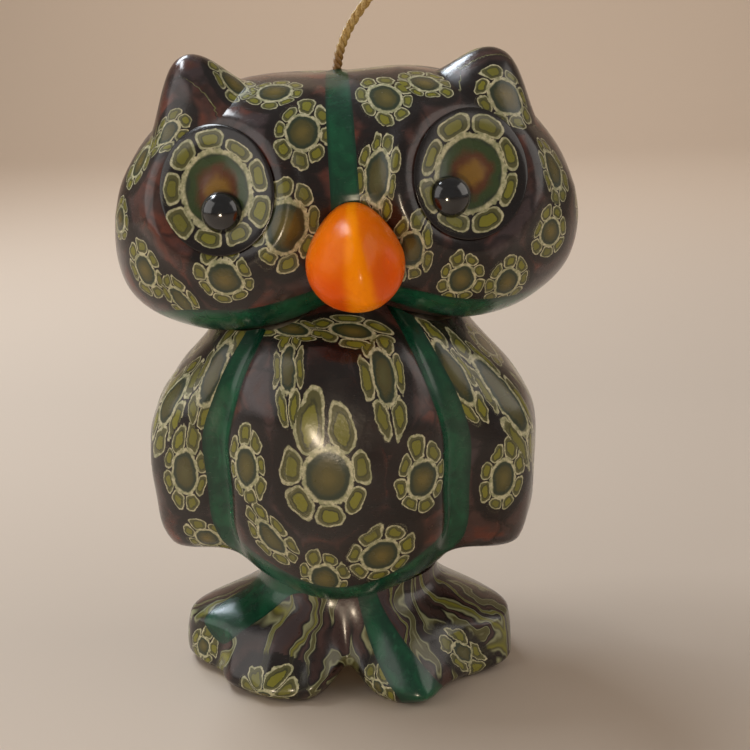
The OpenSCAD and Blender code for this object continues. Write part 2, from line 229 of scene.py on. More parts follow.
def brow_az(el):
    half = np.minimum(0.95, 2.7 / (28.5 * np.cos(np.radians(el))))
    return np.minimum(60, np.degrees(np.arcsin(half)))


def top_el(az):
    return halve(10, 80, az.shape, lambda el: body(az, el)[..., 2] <= seam(body(az, el)))


def hip_el(az):
    return halve(-85, -10, az.shape, lambda el: body(az, el)[..., 2] < HIP_Z)


def hem_el(az):
    return -46 + 17 * (az / 42) ** 2


def leg_end(u):
    return 0.06 + 0.46 * hump(u + 64, 15)


def toe_in(t):
    return 8 + 17 * t


def toe_out(t):
    return 22 + 24 * t


def face_y(x, z):
    """How far forward the face is at a place seen from the front, in the head's own frame."""
    x0 = x / (1.02 - 0.0066 * z * np.where(z > 0, 1, 0.5))
    s = 1 - np.abs(x0 / 46.8) ** 2.7 - np.abs(z / 27) ** 2.7
    y0 = -29 * np.maximum(s, 0.02) ** (1 / 2.7)
    return y0 + smooth(4, -16, y0) * face_push(x, z)


def slice_rise(q):
    """Height of an eye slice above the face: a low dome with a rounded edge."""
    return 0.06 + np.where(q > 0.999, 0.3, 0.3 + 1.3 * np.sqrt(np.maximum(0, 1 - q * q)))


# ---------------------------------------------------------------- meshes


def outward(surface, a, b, steps):
    """Unit normals of a surface: the cross of its two slopes, taken over small steps each way."""
    ha, hb = steps
    da = surface(a + ha, b) - surface(a - ha, b)
    db = surface(a, b + hb) - surface(a, b - hb)
    n = np.cross(da, db)
    return n / np.maximum(np.linalg.norm(n, axis=-1, keepdims=True), 1e-12)


def face_normals(points, faces):
    p = points[faces]
    n = np.cross(p[:, 2] - p[:, 0], p[:, -1] - p[:, 1])
    return n / np.maximum(np.linalg.norm(n, axis=1, keepdims=True), 1e-12)


def put_in_scene(name, points, groups, normals, corner, material, nodes):
    """One mesh object from millimetre points, groups of like-sided faces, normals and corner values."""
    mesh = bpy.data.meshes.new(name)
    sizes = np.concatenate([np.full(len(g), g.shape[1]) for g in groups])
    loops = np.concatenate([g.ravel() for g in groups])
    starts = np.concatenate([[0], np.cumsum(sizes)[:-1]])
    mesh.vertices.add(len(points))
    mesh.vertices.foreach_set("co", (points * MM).astype(np.float32).ravel())
    mesh.loops.add(len(loops))
    mesh.loops.foreach_set("vertex_index", loops.astype(np.int32))
    mesh.polygons.add(len(sizes))
    mesh.polygons.foreach_set("loop_start", starts.astype(np.int32))
    mesh.polygons.foreach_set("use_smooth", np.ones(len(sizes), bool))
    mesh.update(calc_edges=True)
    for key, values in corner.items():
        attribute = mesh.attributes.new(key, "FLOAT_VECTOR", "CORNER")
        attribute.data.foreach_set("vector", values.astype(np.float32).ravel())
    if normals is not None:
        mesh.normals_split_custom_set(normals.astype(np.float32))
    if mesh.validate(clean_customdata=False):
        raise RuntimeError(name + ": the mesh had faces that could not stand")
    piece = bpy.data.objects.new(name, mesh)
    bpy.context.scene.collection.objects.link(piece)
    mesh.materials.append(material)
    if nodes:
        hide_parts(*nodes)
    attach(piece, "root")
    return piece


def slab_faces(rows, cols):
    """Quads of a closed slab: the outer grid, the inner grid turned over, and a strip round the edges."""
    count = rows * cols
    index = np.arange(count).reshape(rows, cols)
    outer = np.stack([index[:-1, :-1], index[1:, :-1], index[1:, 1:], index[:-1, 1:]], -1)
    outer = outer.reshape(-1, 4)
    edge = np.concatenate([index[:-1, 0], index[-1, :-1], index[:0:-1, -1], index[0, :0:-1]])
    on = np.roll(edge, -1)
    return outer, outer[:, ::-1] + count, np.stack([on, edge, edge + count, on + count], -1)


def slab(name, surface, a, b, thick, steps, material, flowers=(), smear=None, run=(1, 1)):
    """A wax sheet: surface(a, b) outside and surface(a, b, thick) inside, joined round the edge."""
    outer_points, inner_points = surface(a, b, 0.0), surface(a, b, thick)
    rows, cols = a.shape
    out, inside, edge = slab_faces(rows, cols)
    points = np.concatenate([outer_points.reshape(-1, 3), inner_points.reshape(-1, 3)])
    n = outward(surface, a, b, steps).reshape(-1, 3)
    if (n[out[:, 0]] * face_normals(points, out)).sum() < 0:
        raise RuntimeError(name + ": this sheet faces inwards")
    faces = np.concatenate([out, inside, edge])
    normals = np.concatenate(
        [
            n[out].reshape(-1, 3),
            -n[inside - rows * cols].reshape(-1, 3),
            np.repeat(face_normals(points, edge), 4, 0),
        ]
    )
    corner = flower_values(points, faces, flowers)
    lay = np.stack([a * run[0], b * run[1], np.zeros_like(a) if smear is None else smear], -1)
    lay = np.concatenate([lay.reshape(-1, 3)] * 2)
    corner["lay"] = lay[faces].reshape(-1, 3)
    s = np.linspace(0, 1, rows)[:, None] + 0 * a
    t = np.linspace(0, 1, cols)[None, :] + 0 * a
    across = np.stack([s, t, 0 * s], -1)
    across = np.concatenate([across.reshape(-1, 3)] * 2)
    corner["across"] = across[faces].reshape(-1, 3)
    return put_in_scene(name, points, [faces], normals, corner, material, [name])


def ball(name, surface, rows, turns, material, nodes, values=None):
    """A closed round piece: surface(t, turn), t from 0 to 1 between two poles, turn in degrees."""
    t = np.linspace(0, 1, rows)[1:-1, None]
    turn = np.linspace(0, 360, turns, endpoint=False)[None, :]
    rings = surface(t + 0 * turn, turn + 0 * t)
    first = surface(np.zeros((1, 1)), np.zeros((1, 1)))[0]
    last = surface(np.ones((1, 1)), np.zeros((1, 1)))[0]
    points = np.concatenate([first, rings.reshape(-1, 3), last])
    index = 1 + np.arange((rows - 2) * turns).reshape(rows - 2, turns)
    on = np.roll(index, -1, 1)
    quads = np.stack([index[:-1], index[1:], on[1:], on[:-1]], -1).reshape(-1, 4)
    top = np.stack([np.zeros_like(index[0]), index[0], on[0]], -1)
    end = np.stack([np.full_like(index[-1], len(points) - 1), on[-1], index[-1]], -1)
    middle = points.mean(0)
    f = face_normals(points, quads)
    if (f * (points[quads].mean(1) - middle)).sum() < 0:
        quads, top, end = quads[:, ::-1], top[:, ::-1], end[:, ::-1]
    corner = {}
    if values is not None:
        for key, per_point in values(points).items():
            loops = np.concatenate([quads.ravel(), top.ravel(), end.ravel()])
            corner[key] = per_point[loops]
    return put_in_scene(name, points, [quads, top, end], None, corner, material, nodes)


def panel(left, right, low, high, rows, cols):
    """A grid of az and el between two side edges that depend on el and two ends that depend on az."""
    s = np.linspace(0, 1, rows)[:, None] + np.zeros((1, cols))
    v = np.linspace(0, 1, cols)[None, :] + np.zeros((rows, 1))
    el = np.zeros_like(s)
    az = left(el) + s * (right(el) - left(el))
    for _ in range(9):
        el = low(az) + v * (high(az) - low(az))
        az = left(el) + s * (right(el) - left(el))
    el = low(az) + v * (high(az) - low(az))
    return az, el


def flat(value):
    return lambda x: np.full_like(x, float(value))


# ---------------------------------------------------------------- flowers

# A flower slice: az, el of its middle, half width, half height up and down (mm), lean (degrees to the right),
# petals, share of the disc, and how far round the petals start.
HEAD_FLOWERS = [
    (-17, 31, 6.0, 8.8, 7.6, 16, 8, 0.50, 0.1),
    (-21, -2, 7.3, 10.0, 9.8, 12, 8, 0.50, 0.4),
    (-41, -17, 6.6, 6.9, 6.6, 24, 8, 0.52, 0.2),
    (-40, 47, 6.0, 7.4, 6.6, 34, 8, 0.50, 0.6),
    (-60, 42, 6.6, 4.4, 4.4, 40, 8, 0.46, 0.3),
    (-65, 22, 3.4, 6.4, 6.4, 42, 7, 0.42, 0.8),
    (-72, 14, 4.8, 6.4, 6.2, 8, 7, 0.50, 0.5),
    (-73, 0, 4.5, 4.9, 4.9, -5, 7, 0.50, 0.1),
    (-63, -12, 4.8, 6.8, 6.6, -10, 7, 0.48, 0.7),
    (-56, -22, 3.8, 8.2, 7.4, -16, 7, 0.45, 0.2),
    (26, 43, 5.8, 8.6, 8.2, -26, 8, 0.50, 0.3),
    (50, 42, 5.4, 7.4, 7.0, -20, 8, 0.50, 0.6),
    (66, 25, 5.6, 7.8, 7.4, -40, 8, 0.50, 0.1),
    (13, 13, 4.8, 10.4, 10.0, 2, 9, 0.48, 0.4),
    (22, -14, 4.8, 8.4, 7.8, 10, 7, 0.48, 0.9),
    (38, -23, 5.2, 7.2, 6.4, 4, 8, 0.50, 0.5),
    (52, -23, 5.2, 6.8, 6.4, -5, 8, 0.50, 0.0),
    (68, 6, 5.2, 8.6, 7.8, -8, 8, 0.48, 0.3),
    (62, -9, 5.6, 6.0, 5.6, 14, 7, 0.50, 0.7),
]
BODY_FLOWERS = [
    (-2, 0.5, 9.9, 18.5, 12.0, 0, 7, 0.46, 0.5),
    (31, -3, 6.8, 10.0, 7.8, -2, 8, 0.48, 0.2),
    (17, -32, 7.6, 10.4, 8.4, 24, 7, 0.48, 0.0),
    (-7, -42, 5.8, 9.0, 8.0, 0, 8, 0.50, 0.5),
    (-26, -25, 5.0, 9.6, 8.8, -26, 8, 0.46, 0.4),
    (-32, 2, 5.4, 9.6, 8.6, 5, 8, 0.50, 0.3),
    (-57, -4, 6.0, 13.0, 9.8, 9, 8, 0.46, 0.6),
    (60, -8, 5.8, 10.0, 8.6, 0, 8, 0.48, 0.5),
    (-17, 36, 3.4, 11.0, 13.5, -6, 6, 0.42, 0.5),
    (20, 33, 4.8, 12.0, 14.0, -4, 6, 0.44, 0.5),
    (49, 29, 4.2, 14.0, 14.0, -24, 6, 0.48, 0.5),
    (64, 17, 5.0, 19.0, 20.0, -24, 6, 0.50, 0.2),
    (-50, 30, 4.4, 14.0, 14.0, 14, 6, 0.48, 0.5),
    (-64, 17, 5.4, 13.0, 14.0, 18, 6, 0.44, 0.3),
    (-58, -29, 5.6, 6.4, 5.8, -24, 7, 0.48, 0.8),
    (-20, 50, 8.0, 3.4, 3.4, 12, 7, 0.46, 0.4),
    (10, 50, 9.4, 4.0, 4.6, 12, 6, 0.44, 0.2),
]
FOOT_FLOWERS = [
    (-34, 0.84, 7.6, 3.8, 3.8, 0, 6, 0.20, 0.5),
    (-72, 0.64, 4.4, 8.0, 6.0, 30, 5, 0.40, 0.2),
    (57, 0.58, 4.0, 8.0, 8.0, -40, 5, 0.36, 0.3),
    (16, 0.80, 3.6, 6.0, 6.0, -30, 5, 0.30, 0.2),
]


def spread_flowers(seed, levels, gap, shape, first, size):
    """Flowers for the sides and back: staggered rows, evenly spaced along the surface, then nudged."""
    rng = np.random.default_rng(seed)
    found = []
    turns = np.arange(first, 361.0 - first)
    for k, el in enumerate(levels):
        path = shape(turns, np.full_like(turns, el))
        run = np.append(0, np.cumsum(np.linalg.norm(np.diff(path, axis=0), axis=1)))
        for az in np.interp(np.arange((k % 2) * gap / 2, run[-1], gap), run, turns):
            wide = size * rng.uniform(0.88, 1.08)
            tall = wide * rng.uniform(1.0, 1.35)
            found.append(
                (
                    float(az) + rng.uniform(-2, 2),
                    el + rng.uniform(-2.5, 2.5),
                    wide,
                    tall,
                    tall * rng.uniform(0.85, 1),
                    rng.uniform(-25, 25),
                    int(rng.integers(7, 9)),
                    rng.uniform(0.46, 0.52),
                    rng.uniform(0, 1),
                )
            )
    return found


def flower_frames(surface, flowers, steps, first_seed):
    """For each flower its middle, its across and up directions on the surface, its sizes and its make-up."""
    rows = np.array(flowers, float)
    a, b = rows[:, 0], rows[:, 1]
    middle = surface(a, b)
    out = outward(surface, a, b, steps)
    up = np.array([0, 0, 1.0]) - out * out[:, 2:3]
    up /= np.maximum(np.linalg.norm(up, axis=1, keepdims=True), 1e-9)
    side = np.cross(up, out)
    lean = np.radians(rows[:, 5])[:, None]
    tall = up * np.cos(lean) + side * np.sin(lean)
    wide = side * np.cos(lean) - up * np.sin(lean)
    seed = first_seed + np.arange(len(rows)) + np.clip(rows[:, 8], 0, 0.99)
    return middle, out, wide, tall, rows[:, 2:5], np.stack([rows[:, 6], rows[:, 7], seed], -1)


def flower_values(points, faces, flowers):
    """Per corner, the place inside the nearest flower (1 is its rim) and that flower's make-up."""
    count = len(faces)
    if not len(flowers):
        return {"flower": np.full((count * 4, 3), 9.0), "petals": np.full((count * 4, 3), 7.0)}
    middle, out, wide, tall, size, make = flowers
    centre = points[faces].mean(1)
    best, which = np.full(count, 1e9), np.zeros(count, int)
    for k in range(len(middle)):
        d = centre - middle[k]
        x, y, deep = d @ wide[k], d @ tall[k], d @ out[k]
        half = np.where(y > 0, size[k, 1], size[k, 2])
        far = np.hypot(x / size[k, 0], y / half)
        far = far + np.maximum(0, np.abs(deep) - 3 - 0.45 * size[k].max()) * 0.6
        near = far < best
        best, which = np.where(near, far, best), np.where(near, k, which)
    at = points[faces]
    d = at - middle[which][:, None]
    x = (d * wide[which][:, None]).sum(-1) / size[which, 0][:, None]
    y = (d * tall[which][:, None]).sum(-1)
    low = np.minimum(size[which, 1], size[which, 2])[:, None]
    end = np.where(y > 0, size[which, 1][:, None], size[which, 2][:, None]) / low
    disc = make[which, 1][:, None] * 1.1
    y, sign = np.abs(y) / low, np.sign(y)
    y = sign * np.where(y < disc, y, disc + (y - disc) * (1 - disc) / (end - disc))
    off = (best > 2.2)[:, None]
    x, y = np.where(off, 9, x), np.where(off, 9, y)
    seed = make[which, 2][:, None] + 0 * x
    flower = np.stack([x, y, seed], -1).reshape(-1, 3)
    petals = np.stack([make[which, 0], make[which, 1], 6 / size[which, 0]], -1)
    slim = np.clip(size[which, 1:].sum(1) / size[which, 0] / 2 - 1.0, 0.25, 1)
    temper = np.stack([slim, 0 * slim, 0 * slim], -1)
    return {"flower": flower, "petals": np.repeat(petals, 4, 0), "temper": np.repeat(temper, 4, 0)}


# ---------------------------------------------------------------- finishes


def tone(r, g, b):
    """A colour as a maker mixes it, from 0 to 255, turned to the linear values that the shaders use."""
    c = np.array([r, g, b]) / 255
    c = np.where(c <= 0.04045, c / 12.92, ((c + 0.055) / 1.055) ** 2.4)
    return tuple(float(x) for x in c)


class Bench:
    """Lays out one material's nodes and wires them as each is asked for."""

    def __init__(self, name):
        self.material = bpy.data.materials.new(name + "_finish")
        self.material.use_nodes = True
        self.tree = self.material.node_tree
        self.tree.nodes.clear()

    def node(self, kind, inputs=None, **settings):
        node = self.tree.nodes.new("ShaderNode" + kind)
        node.location = (220 * (len(self.tree.nodes) % 12), -260 * (len(self.tree.nodes) // 12))
        for key, value in settings.items():
            setattr(node, key, value)
        for key, value in (inputs or {}).items():
            self.feed(node.inputs[key], value)
        return node

    def feed(self, socket, value):
        if isinstance(value, bpy.types.NodeSocket):
            self.tree.links.new(value, socket)
        elif socket.type == "RGBA" and len(value) == 3:
            socket.default_value = (*value, 1)
        else:
            socket.default_value = value

    def sum(self, operation, *values):
        return self.node("Math", dict(enumerate(values)), operation=operation).outputs[0]

    def vector(self, operation, *values, scale=None):
        node = self.node("VectorMath", dict(enumerate(values)), operation=operation)
        if scale is not None:
            node.inputs["Scale"].default_value = scale
        return node.outputs[0]

    def rise(self, lo, hi, x):
        settings = dict(interpolation_type="SMOOTHSTEP")
        return self.node("MapRange", {0: x, 1: lo, 2: hi, 3: 0.0, 4: 1.0}, **settings).outputs[0]

    def mix(self, share, first, second, blend="MIX"):
        node = self.node("Mix", {0: share, 6: first, 7: second}, data_type="RGBA", blend_type=blend)
        return node.outputs[2]

    def between(self, share, first, second):
        return self.node("Mix", {0: share, 2: first, 3: second}).outputs[0]

    def noise(self, where, scale, detail=2.0, rough=0.5, twist=0.0):
        values = {"Vector": where, "Scale": scale, "Detail": detail, "Roughness": rough}
        return self.node("TexNoise", {**values, "Distortion": twist})

    def parts(self, vector):
        return self.node("SeparateXYZ", {0: vector}).outputs

    def join(self, x, y, z):
        return self.node("CombineXYZ", {0: x, 1: y, 2: z}).outputs[0]

    def read(self, name):
        return self.node("Attribute", attribute_name=name).outputs["Vector"]

    def millimetres(self):
        where = self.node("TexCoord").outputs["Object"]
        return self.vector("SCALE", where, scale=1000.0)

    def finish(self, base, roughness, height=None, lift=0.04, **same):
        """Ends the material: base colour, roughness, a relief of that lift in millimetres, plain values."""
        shader = self.node("BsdfPrincipled", {"Base Color": base, "Roughness": roughness})
        for key, value in same.items():
            self.feed(shader.inputs[key.replace("_", " ")], value)
        if height is not None:
            bump = self.node("Bump", {"Height": height, "Strength": 1.0, "Distance": lift * MM})
            self.tree.links.new(bump.outputs[0], shader.inputs["Normal"])
        out = self.node("OutputMaterial")
        self.tree.links.new(shader.outputs[0], out.inputs[0])
        return self.material


def handling(bench, where):
    """Fine scratches and dulled spots of a handled gloss surface: returns a roughness and a small height."""
    stretched = bench.node("Mapping", {"Vector": where, "Scale": (0.25, 1.6, 3.2)}).outputs[0]
    scratch = bench.noise(stretched, 1.3, 3.0, 0.7, 0.6).outputs[0]
    scratch = bench.rise(0.62, 0.78, scratch)
    cloud = bench.noise(where, 0.12, 3.0, 0.6).outputs[0]
    rough = bench.sum("MULTIPLY_ADD", bench.rise(0.35, 0.75, cloud), 0.16, 0.20)
    rough = bench.sum("MULTIPLY_ADD", scratch, 0.16, rough)
    grain = bench.noise(where, 1.1, 4.0, 0.6).outputs[0]
    height = bench.sum("SUBTRACT", grain, bench.sum("MULTIPLY", scratch, 0.5))
    return rough, height


def ground_colours(bench, where):
    """The dark wax between flowers: maroon brown with red and plum patches and black veins."""
    c = bpy.context.scene.owl_colours
    bent = bench.noise(where, 0.16, 2.0, 0.5)
    push = bench.vector("SCALE", bench.vector("SUBTRACT", bent.outputs[1], (0.5, 0.5, 0.5)), scale=9.0)
    place = bench.vector("ADD", where, push)
    patches = bench.noise(place, 0.11, 2.0, 0.45).outputs[0]
    plums = bench.noise(bench.vector("ADD", place, (31.0, 7.0, 12.0)), 0.085, 2.0, 0.5).outputs[0]
    veins = bench.node(
        "TexVoronoi", {"Vector": place, "Scale": 0.11}, feature="DISTANCE_TO_EDGE"
    ).outputs[0]
    colour = bench.mix(bench.rise(0.46, 0.66, patches), c.ground, c.ground_red)
    colour = bench.mix(bench.rise(0.50, 0.62, plums), colour, c.ground_plum)
    colour = bench.mix(bench.sum("MULTIPLY", bench.rise(0.12, 0.0, veins), 0.6), colour, c.ground_black)
    speck = bench.noise(where, 0.9, 3.0, 0.6).outputs[0]
    return bench.mix(bench.sum("MULTIPLY", bench.rise(0.5, 0.75, speck), 0.25), colour, c.ground_black)


def drawn_out(bench, where, lay):
    """Wax pulled lengthwise: long folds of dark, cream, olive and leaf in turn, from one stretched noise."""
    c = bpy.context.scene.owl_colours
    bent = bench.noise(where, 0.12, 2.0, 0.5).outputs[0]
    x, y, _ = bench.parts(lay)
    x = bench.sum("MULTIPLY_ADD", bent, 11.0, x)
    pulled = bench.join(x, bench.sum("MULTIPLY", y, 0.22), 0.0)
    level = bench.noise(pulled, 0.085, 2.0, 0.42, 0.5).outputs[0]
    ramp = bench.node("ValToRGB")
    ramp.color_ramp.interpolation = "LINEAR"
    stops = [
        (0.0, c.ground_black),
        (0.28, c.ground),
        (0.35, c.ground_black),
        (0.37, c.cream_shade),
        (0.385, c.olive_brown),
        (0.42, c.olive),
        (0.44, c.olive_brown),
        (0.455, c.cream_shade),
        (0.47, c.ground_black),
        (0.53, c.ground),
        (0.56, c.ground_black),
        (0.575, c.cream_shade),
        (0.59, c.olive),
        (0.62, c.leaf),
        (0.64, c.olive_brown),
        (0.66, c.cream_shade),
        (0.675, c.ground_black),
        (0.74, c.ground),
        (0.80, c.ground_plum),
    ]
    elements = ramp.color_ramp.elements
    while len(elements) < len(stops):
        elements.new(0.5)
    for element, (place, colour) in zip(elements, stops):
        element.position = place
        element.color = (*colour, 1)
    bench.feed(ramp.inputs[0], bench.rise(0.12, 0.88, level))
    return ramp.outputs[0]


def flower_colours(bench, where, ground, coarse=0.10):
    """Flower slices over a ground: disc, cream ring, cream-edged petals and a dark halo."""
    c = bpy.context.scene.owl_colours
    wobble = bench.noise(where, 0.30, 2.0, 0.5).outputs[1]
    ragged = bench.noise(where, 1.6, 2.0, 0.6).outputs[1]
    half = (0.5, 0.5, 0.5)
    shift = bench.vector("SCALE", bench.vector("SUBTRACT", wobble, half), scale=2.2 * coarse)
    fine = bench.vector("SCALE", bench.vector("SUBTRACT", ragged, half), scale=0.5 * coarse)
    p0, q0, seed = bench.parts(bench.read("flower"))
    count, disc, small = bench.parts(bench.read("petals"))
    stray = bench.parts(bench.vector("ADD", shift, fine))
    p = bench.sum("MULTIPLY_ADD", stray[0], small, p0)
    q = bench.sum("MULTIPLY_ADD", stray[1], small, q0)
    r = bench.sum("SQRT", bench.sum("ADD", bench.sum("MULTIPLY", p, p), bench.sum("MULTIPLY", q, q)))
    turn = bench.sum("DIVIDE", bench.sum("ARCTAN2", p, q), 2 * math.pi)
    u = bench.sum("ADD", bench.sum("MULTIPLY", turn, count), bench.sum("FRACT", seed))
    cell = bench.sum("FLOOR", bench.sum("ADD", u, 0.5))
    along = bench.sum("SUBTRACT", u, cell)
    which = bench.sum("FLOORED_MODULO", cell, count)
    draw = bench.node("TexWhiteNoise", {"Vector": bench.join(which, bench.sum("FLOOR", seed), 3.0)})
    draw = draw.outputs["Color"]
    one, two, three = bench.parts(draw)
    reach = bench.sum("MULTIPLY_ADD", one, -0.17, 1.0)
    breadth = bench.sum("MULTIPLY_ADD", two, 0.05, 0.435)
    start = bench.sum("MULTIPLY_ADD", disc, 1.04, 0.045)
    middle = bench.sum("MULTIPLY", bench.sum("ADD", start, reach), 0.5)
    length = bench.sum("MULTIPLY", bench.sum("SUBTRACT", reach, start), 0.5)
    s = bench.sum("ABSOLUTE", bench.sum("DIVIDE", along, breadth))
    e = bench.sum("ABSOLUTE", bench.sum("DIVIDE", bench.sum("SUBTRACT", r, middle), length))
    power = 3.4
    e = bench.sum("ADD", bench.sum("POWER", s, power), bench.sum("POWER", e, power))
    e = bench.sum("POWER", e, 1 / power)
    # Dark halo, then petals from the outside in.
    halo = bench.rise(1.34, 1.10, r)
    colour = bench.mix(bench.sum("MULTIPLY", halo, 0.92), ground, c.ground_black)
    cream = bench.noise(where, 0.9, 3.0, 0.7).outputs[0]
    pale = bench.mix(bench.rise(0.35, 0.68, cream), c.cream_shade, c.cream)
    petal = bench.mix(bench.rise(0.66, 0.58, e), c.olive, c.line)
    petal = bench.mix(bench.rise(0.56, 0.48, e), petal, c.leaf)
    petal = bench.mix(bench.sum("MULTIPLY", three, 0.5), petal, c.olive)
    outline = bench.mix(bench.rise(0.80, 0.88, e), petal, pale)
    colour = bench.mix(bench.rise(1.03, 0.97, e), colour, outline)
    # The ring and the disc in the middle.
    rr = bench.sum("DIVIDE", r, disc)
    fray = bench.noise(bench.join(bench.sum("MULTIPLY", turn, 60.0), seed, 0.0), 1.0, 1.0, 0.5).outputs[0]
    ring = bench.sum("DIVIDE", bench.sum("SUBTRACT", r, disc), 0.075)
    ring = bench.sum("MULTIPLY_ADD", bench.sum("SUBTRACT", fray, 0.5), 1.3, ring)
    colour = bench.mix(bench.rise(1.15, 0.75, ring), colour, pale)
    middle_wax = bench.mix(bench.parts(bench.read("temper"))[0], c.amber, c.olive)
    heart = bench.mix(bench.rise(0.10, 0.62, rr), middle_wax, c.olive_brown)
    heart = bench.mix(bench.rise(0.60, 0.84, rr), heart, c.moss)
    colour = bench.mix(bench.rise(1.02, 0.92, rr), colour, heart)
    return colour


def patterned_wax(smeared=False):
    """Hard gloss wax with flower slices pressed into a dark ground."""
    bench = Bench("patterned_wax_drawn" if smeared else "patterned_wax")
    where = bench.millimetres()
    lay = bench.read("lay")
    ground = ground_colours(bench, where)
    pulled = drawn_out(bench, where, lay)
    smear = bench.parts(lay)[2]
    patch = bench.noise(where, 0.07, 2.0, 0.5).outputs[0]
    share = bench.rise(0.42, 0.50, bench.sum("ADD", patch, bench.sum("MULTIPLY_ADD", smear, 0.6, -0.3)))
    share = bench.sum("MULTIPLY", share, bench.rise(0.02, 0.15, smear))
    ground = bench.mix(share, ground, pulled)
    colour = flower_colours(bench, where, ground, 0.16 if smeared else 0.10)
    haze = bench.noise(where, 0.05, 2.0, 0.5).outputs[0]
    colour = bench.mix(bench.sum("MULTIPLY", bench.rise(0.5, 0.8, haze), 0.08), colour, (0.18, 0.17, 0.16))
    rough, height = handling(bench, where)
    return bench.finish(
        colour, rough, height, 0.035, Coat_Weight=0.34, Coat_Roughness=0.15, Specular_IOR_Level=0.42
    )


def green_wax():
    """Green strip wax: dark and mid green in clouds, with pale streaks, deeper green clouds and darker edges.
    """
    c = bpy.context.scene.owl_colours
    bench = Bench("green_wax")
    where = bench.millimetres()
    cloud = bench.noise(where, 0.13, 3.0, 0.55, 0.8).outputs[0]
    colour = bench.mix(bench.rise(0.36, 0.66, cloud), c.green_dark, c.green)
    drawn = bench.node("Mapping", {"Vector": where, "Scale": (1, 1, 0.25)}).outputs[0]
    streak = bench.noise(drawn, 0.5, 3.0, 0.6).outputs[0]
    pale = bench.sum("MULTIPLY", bench.rise(0.55, 0.75, streak), 0.45)
    colour = bench.mix(pale, colour, c.green_pale)
    dark = bench.noise(where, 0.28, 3.0, 0.6).outputs[0]
    colour = bench.mix(bench.sum("MULTIPLY", bench.rise(0.52, 0.72, dark), 0.55), colour, c.green_deep)
    across = bench.parts(bench.read("across"))
    s, t = across[0], across[1]
    wave = bench.sum("MULTIPLY_ADD", bench.noise(where, 0.35, 2.0, 0.5).outputs[0], 0.10, -0.05)
    edge_s = bench.sum("MULTIPLY", bench.sum("MINIMUM", s, bench.sum("SUBTRACT", 1.0, s)), 1.0)
    edge_t = bench.sum("MULTIPLY", bench.sum("MINIMUM", t, bench.sum("SUBTRACT", 1.0, t)), 1.0)
    edge = bench.sum("ADD", bench.sum("MINIMUM", edge_s, edge_t), wave)
    colour = bench.mix(bench.sum("MULTIPLY", bench.rise(0.16, 0.0, edge), 0.75), colour, c.green_deep)
    rough, height = handling(bench, where)
    return bench.finish(
        colour, rough, height, 0.035, Coat_Weight=0.36, Coat_Roughness=0.14, Specular_IOR_Level=0.42
    )


def eye_wax():
    """An eye slice: one wide flower with an amber to red brown heart, a green ring and cream petals."""
    c = bpy.context.scene.owl_colours
    bench = Bench("eye_wax")
    where = bench.millimetres()
    ground = ground_colours(bench, where)
    ground = bench.mix(0.6, ground, c.ground_black)
    colour = flower_colours(bench, where, ground, 0.07)
    p, q, _ = bench.parts(bench.read("flower"))
    soft = bench.noise(where, 0.22, 2.0, 0.5).outputs[0]
    far = bench.sum("SQRT", bench.sum("ADD", bench.sum("MULTIPLY", p, p), bench.sum("MULTIPLY", q, q)))
    rim = bench.sum("MULTIPLY_ADD", soft, 0.07, bench.sum("SUBTRACT", far, 0.035))
    far = bench.sum("ADD", far, bench.sum("MULTIPLY_ADD", soft, 0.36, -0.18))
    heart = bench.mix(bench.rise(0.12, 0.30, far), c.eye_amber, c.eye_brown)
    heart = bench.mix(bench.rise(0.28, 0.44, far), heart, c.eye_green)
    heart = bench.mix(bench.rise(0.48, 0.56, far), heart, c.moss)
    colour = bench.mix(bench.rise(0.56, 0.52, rim), colour, heart)
    rough, height = handling(bench, where)
    return bench.finish(
        colour, rough, height, 0.03, Coat_Weight=0.34, Coat_Roughness=0.12, Specular_IOR_Level=0.42
    )


def black_wax():
    """Polished black bead wax, almost flat in colour, with faint blue-black clouds and fine scratches."""
    c = bpy.context.scene.owl_colours
    bench = Bench("black_wax")
    where = bench.millimetres()
    cloud = bench.noise(where, 0.6, 3.0, 0.6).outputs[0]
    colour = bench.mix(bench.rise(0.4, 0.7, cloud), c.bead, c.bead_shade)
    rough, height = handling(bench, where)
    rough = bench.sum("MULTIPLY", rough, 0.55)
    return bench.finish(
        colour, rough, height, 0.03, Coat_Weight=0.8, Coat_Roughness=0.05, Specular_IOR_Level=0.6
    )


def orange_wax():
    """Orange wax of the beak: a painted highlight of bright yellow orange along its ridge, painted shade of
    redder orange low on its flanks and in the scoop of its right flank, cloudy inside.
    """
    c = bpy.context.scene.owl_colours
    bench = Bench("orange_wax")
    where = bench.millimetres()
    # The beak attribute holds nearness to the ridge, for the painted highlight, and lowness on the flanks or
    # in the scoop, for the painted shade.
    ridge, low, _ = bench.parts(bench.read("beak"))
    soft = bench.noise(where, 0.22, 3.0, 0.55).outputs[0]
    soft = bench.sum("SUBTRACT", soft, 0.5)
    # Painted shade: redder orange low on the flanks and in the scooped right flank.
    colour = bench.mix(bench.rise(-0.2, 0.9, bench.sum("ADD", low, soft)), c.orange, c.orange_shade_and_mottle)
    # Painted highlight: bright yellow orange along the ridge.
    bright = bench.rise(0.35, 0.95, bench.sum("MULTIPLY_ADD", soft, 0.5, ridge))
    colour = bench.mix(bright, colour, c.orange_highlight)
    fine = bench.noise(where, 1.0, 4.0, 0.6).outputs[0]
    # Random redder mottling through the wax, in the same colour as the painted shade.
    colour = bench.mix(bench.sum("MULTIPLY", bench.rise(0.5, 0.8, fine), 0.25), colour, c.orange_shade_and_mottle)
    rough, height = handling(bench, where)
    return bench.finish(
        colour, rough, height, 0.05, Coat_Weight=0.08, Coat_Roughness=0.1, Specular_IOR_Level=0.12,
        Subsurface_Weight=0.03, Subsurface_Radius=(0.003, 0.0015, 0.0005), Subsurface_Scale=1.0,
    )


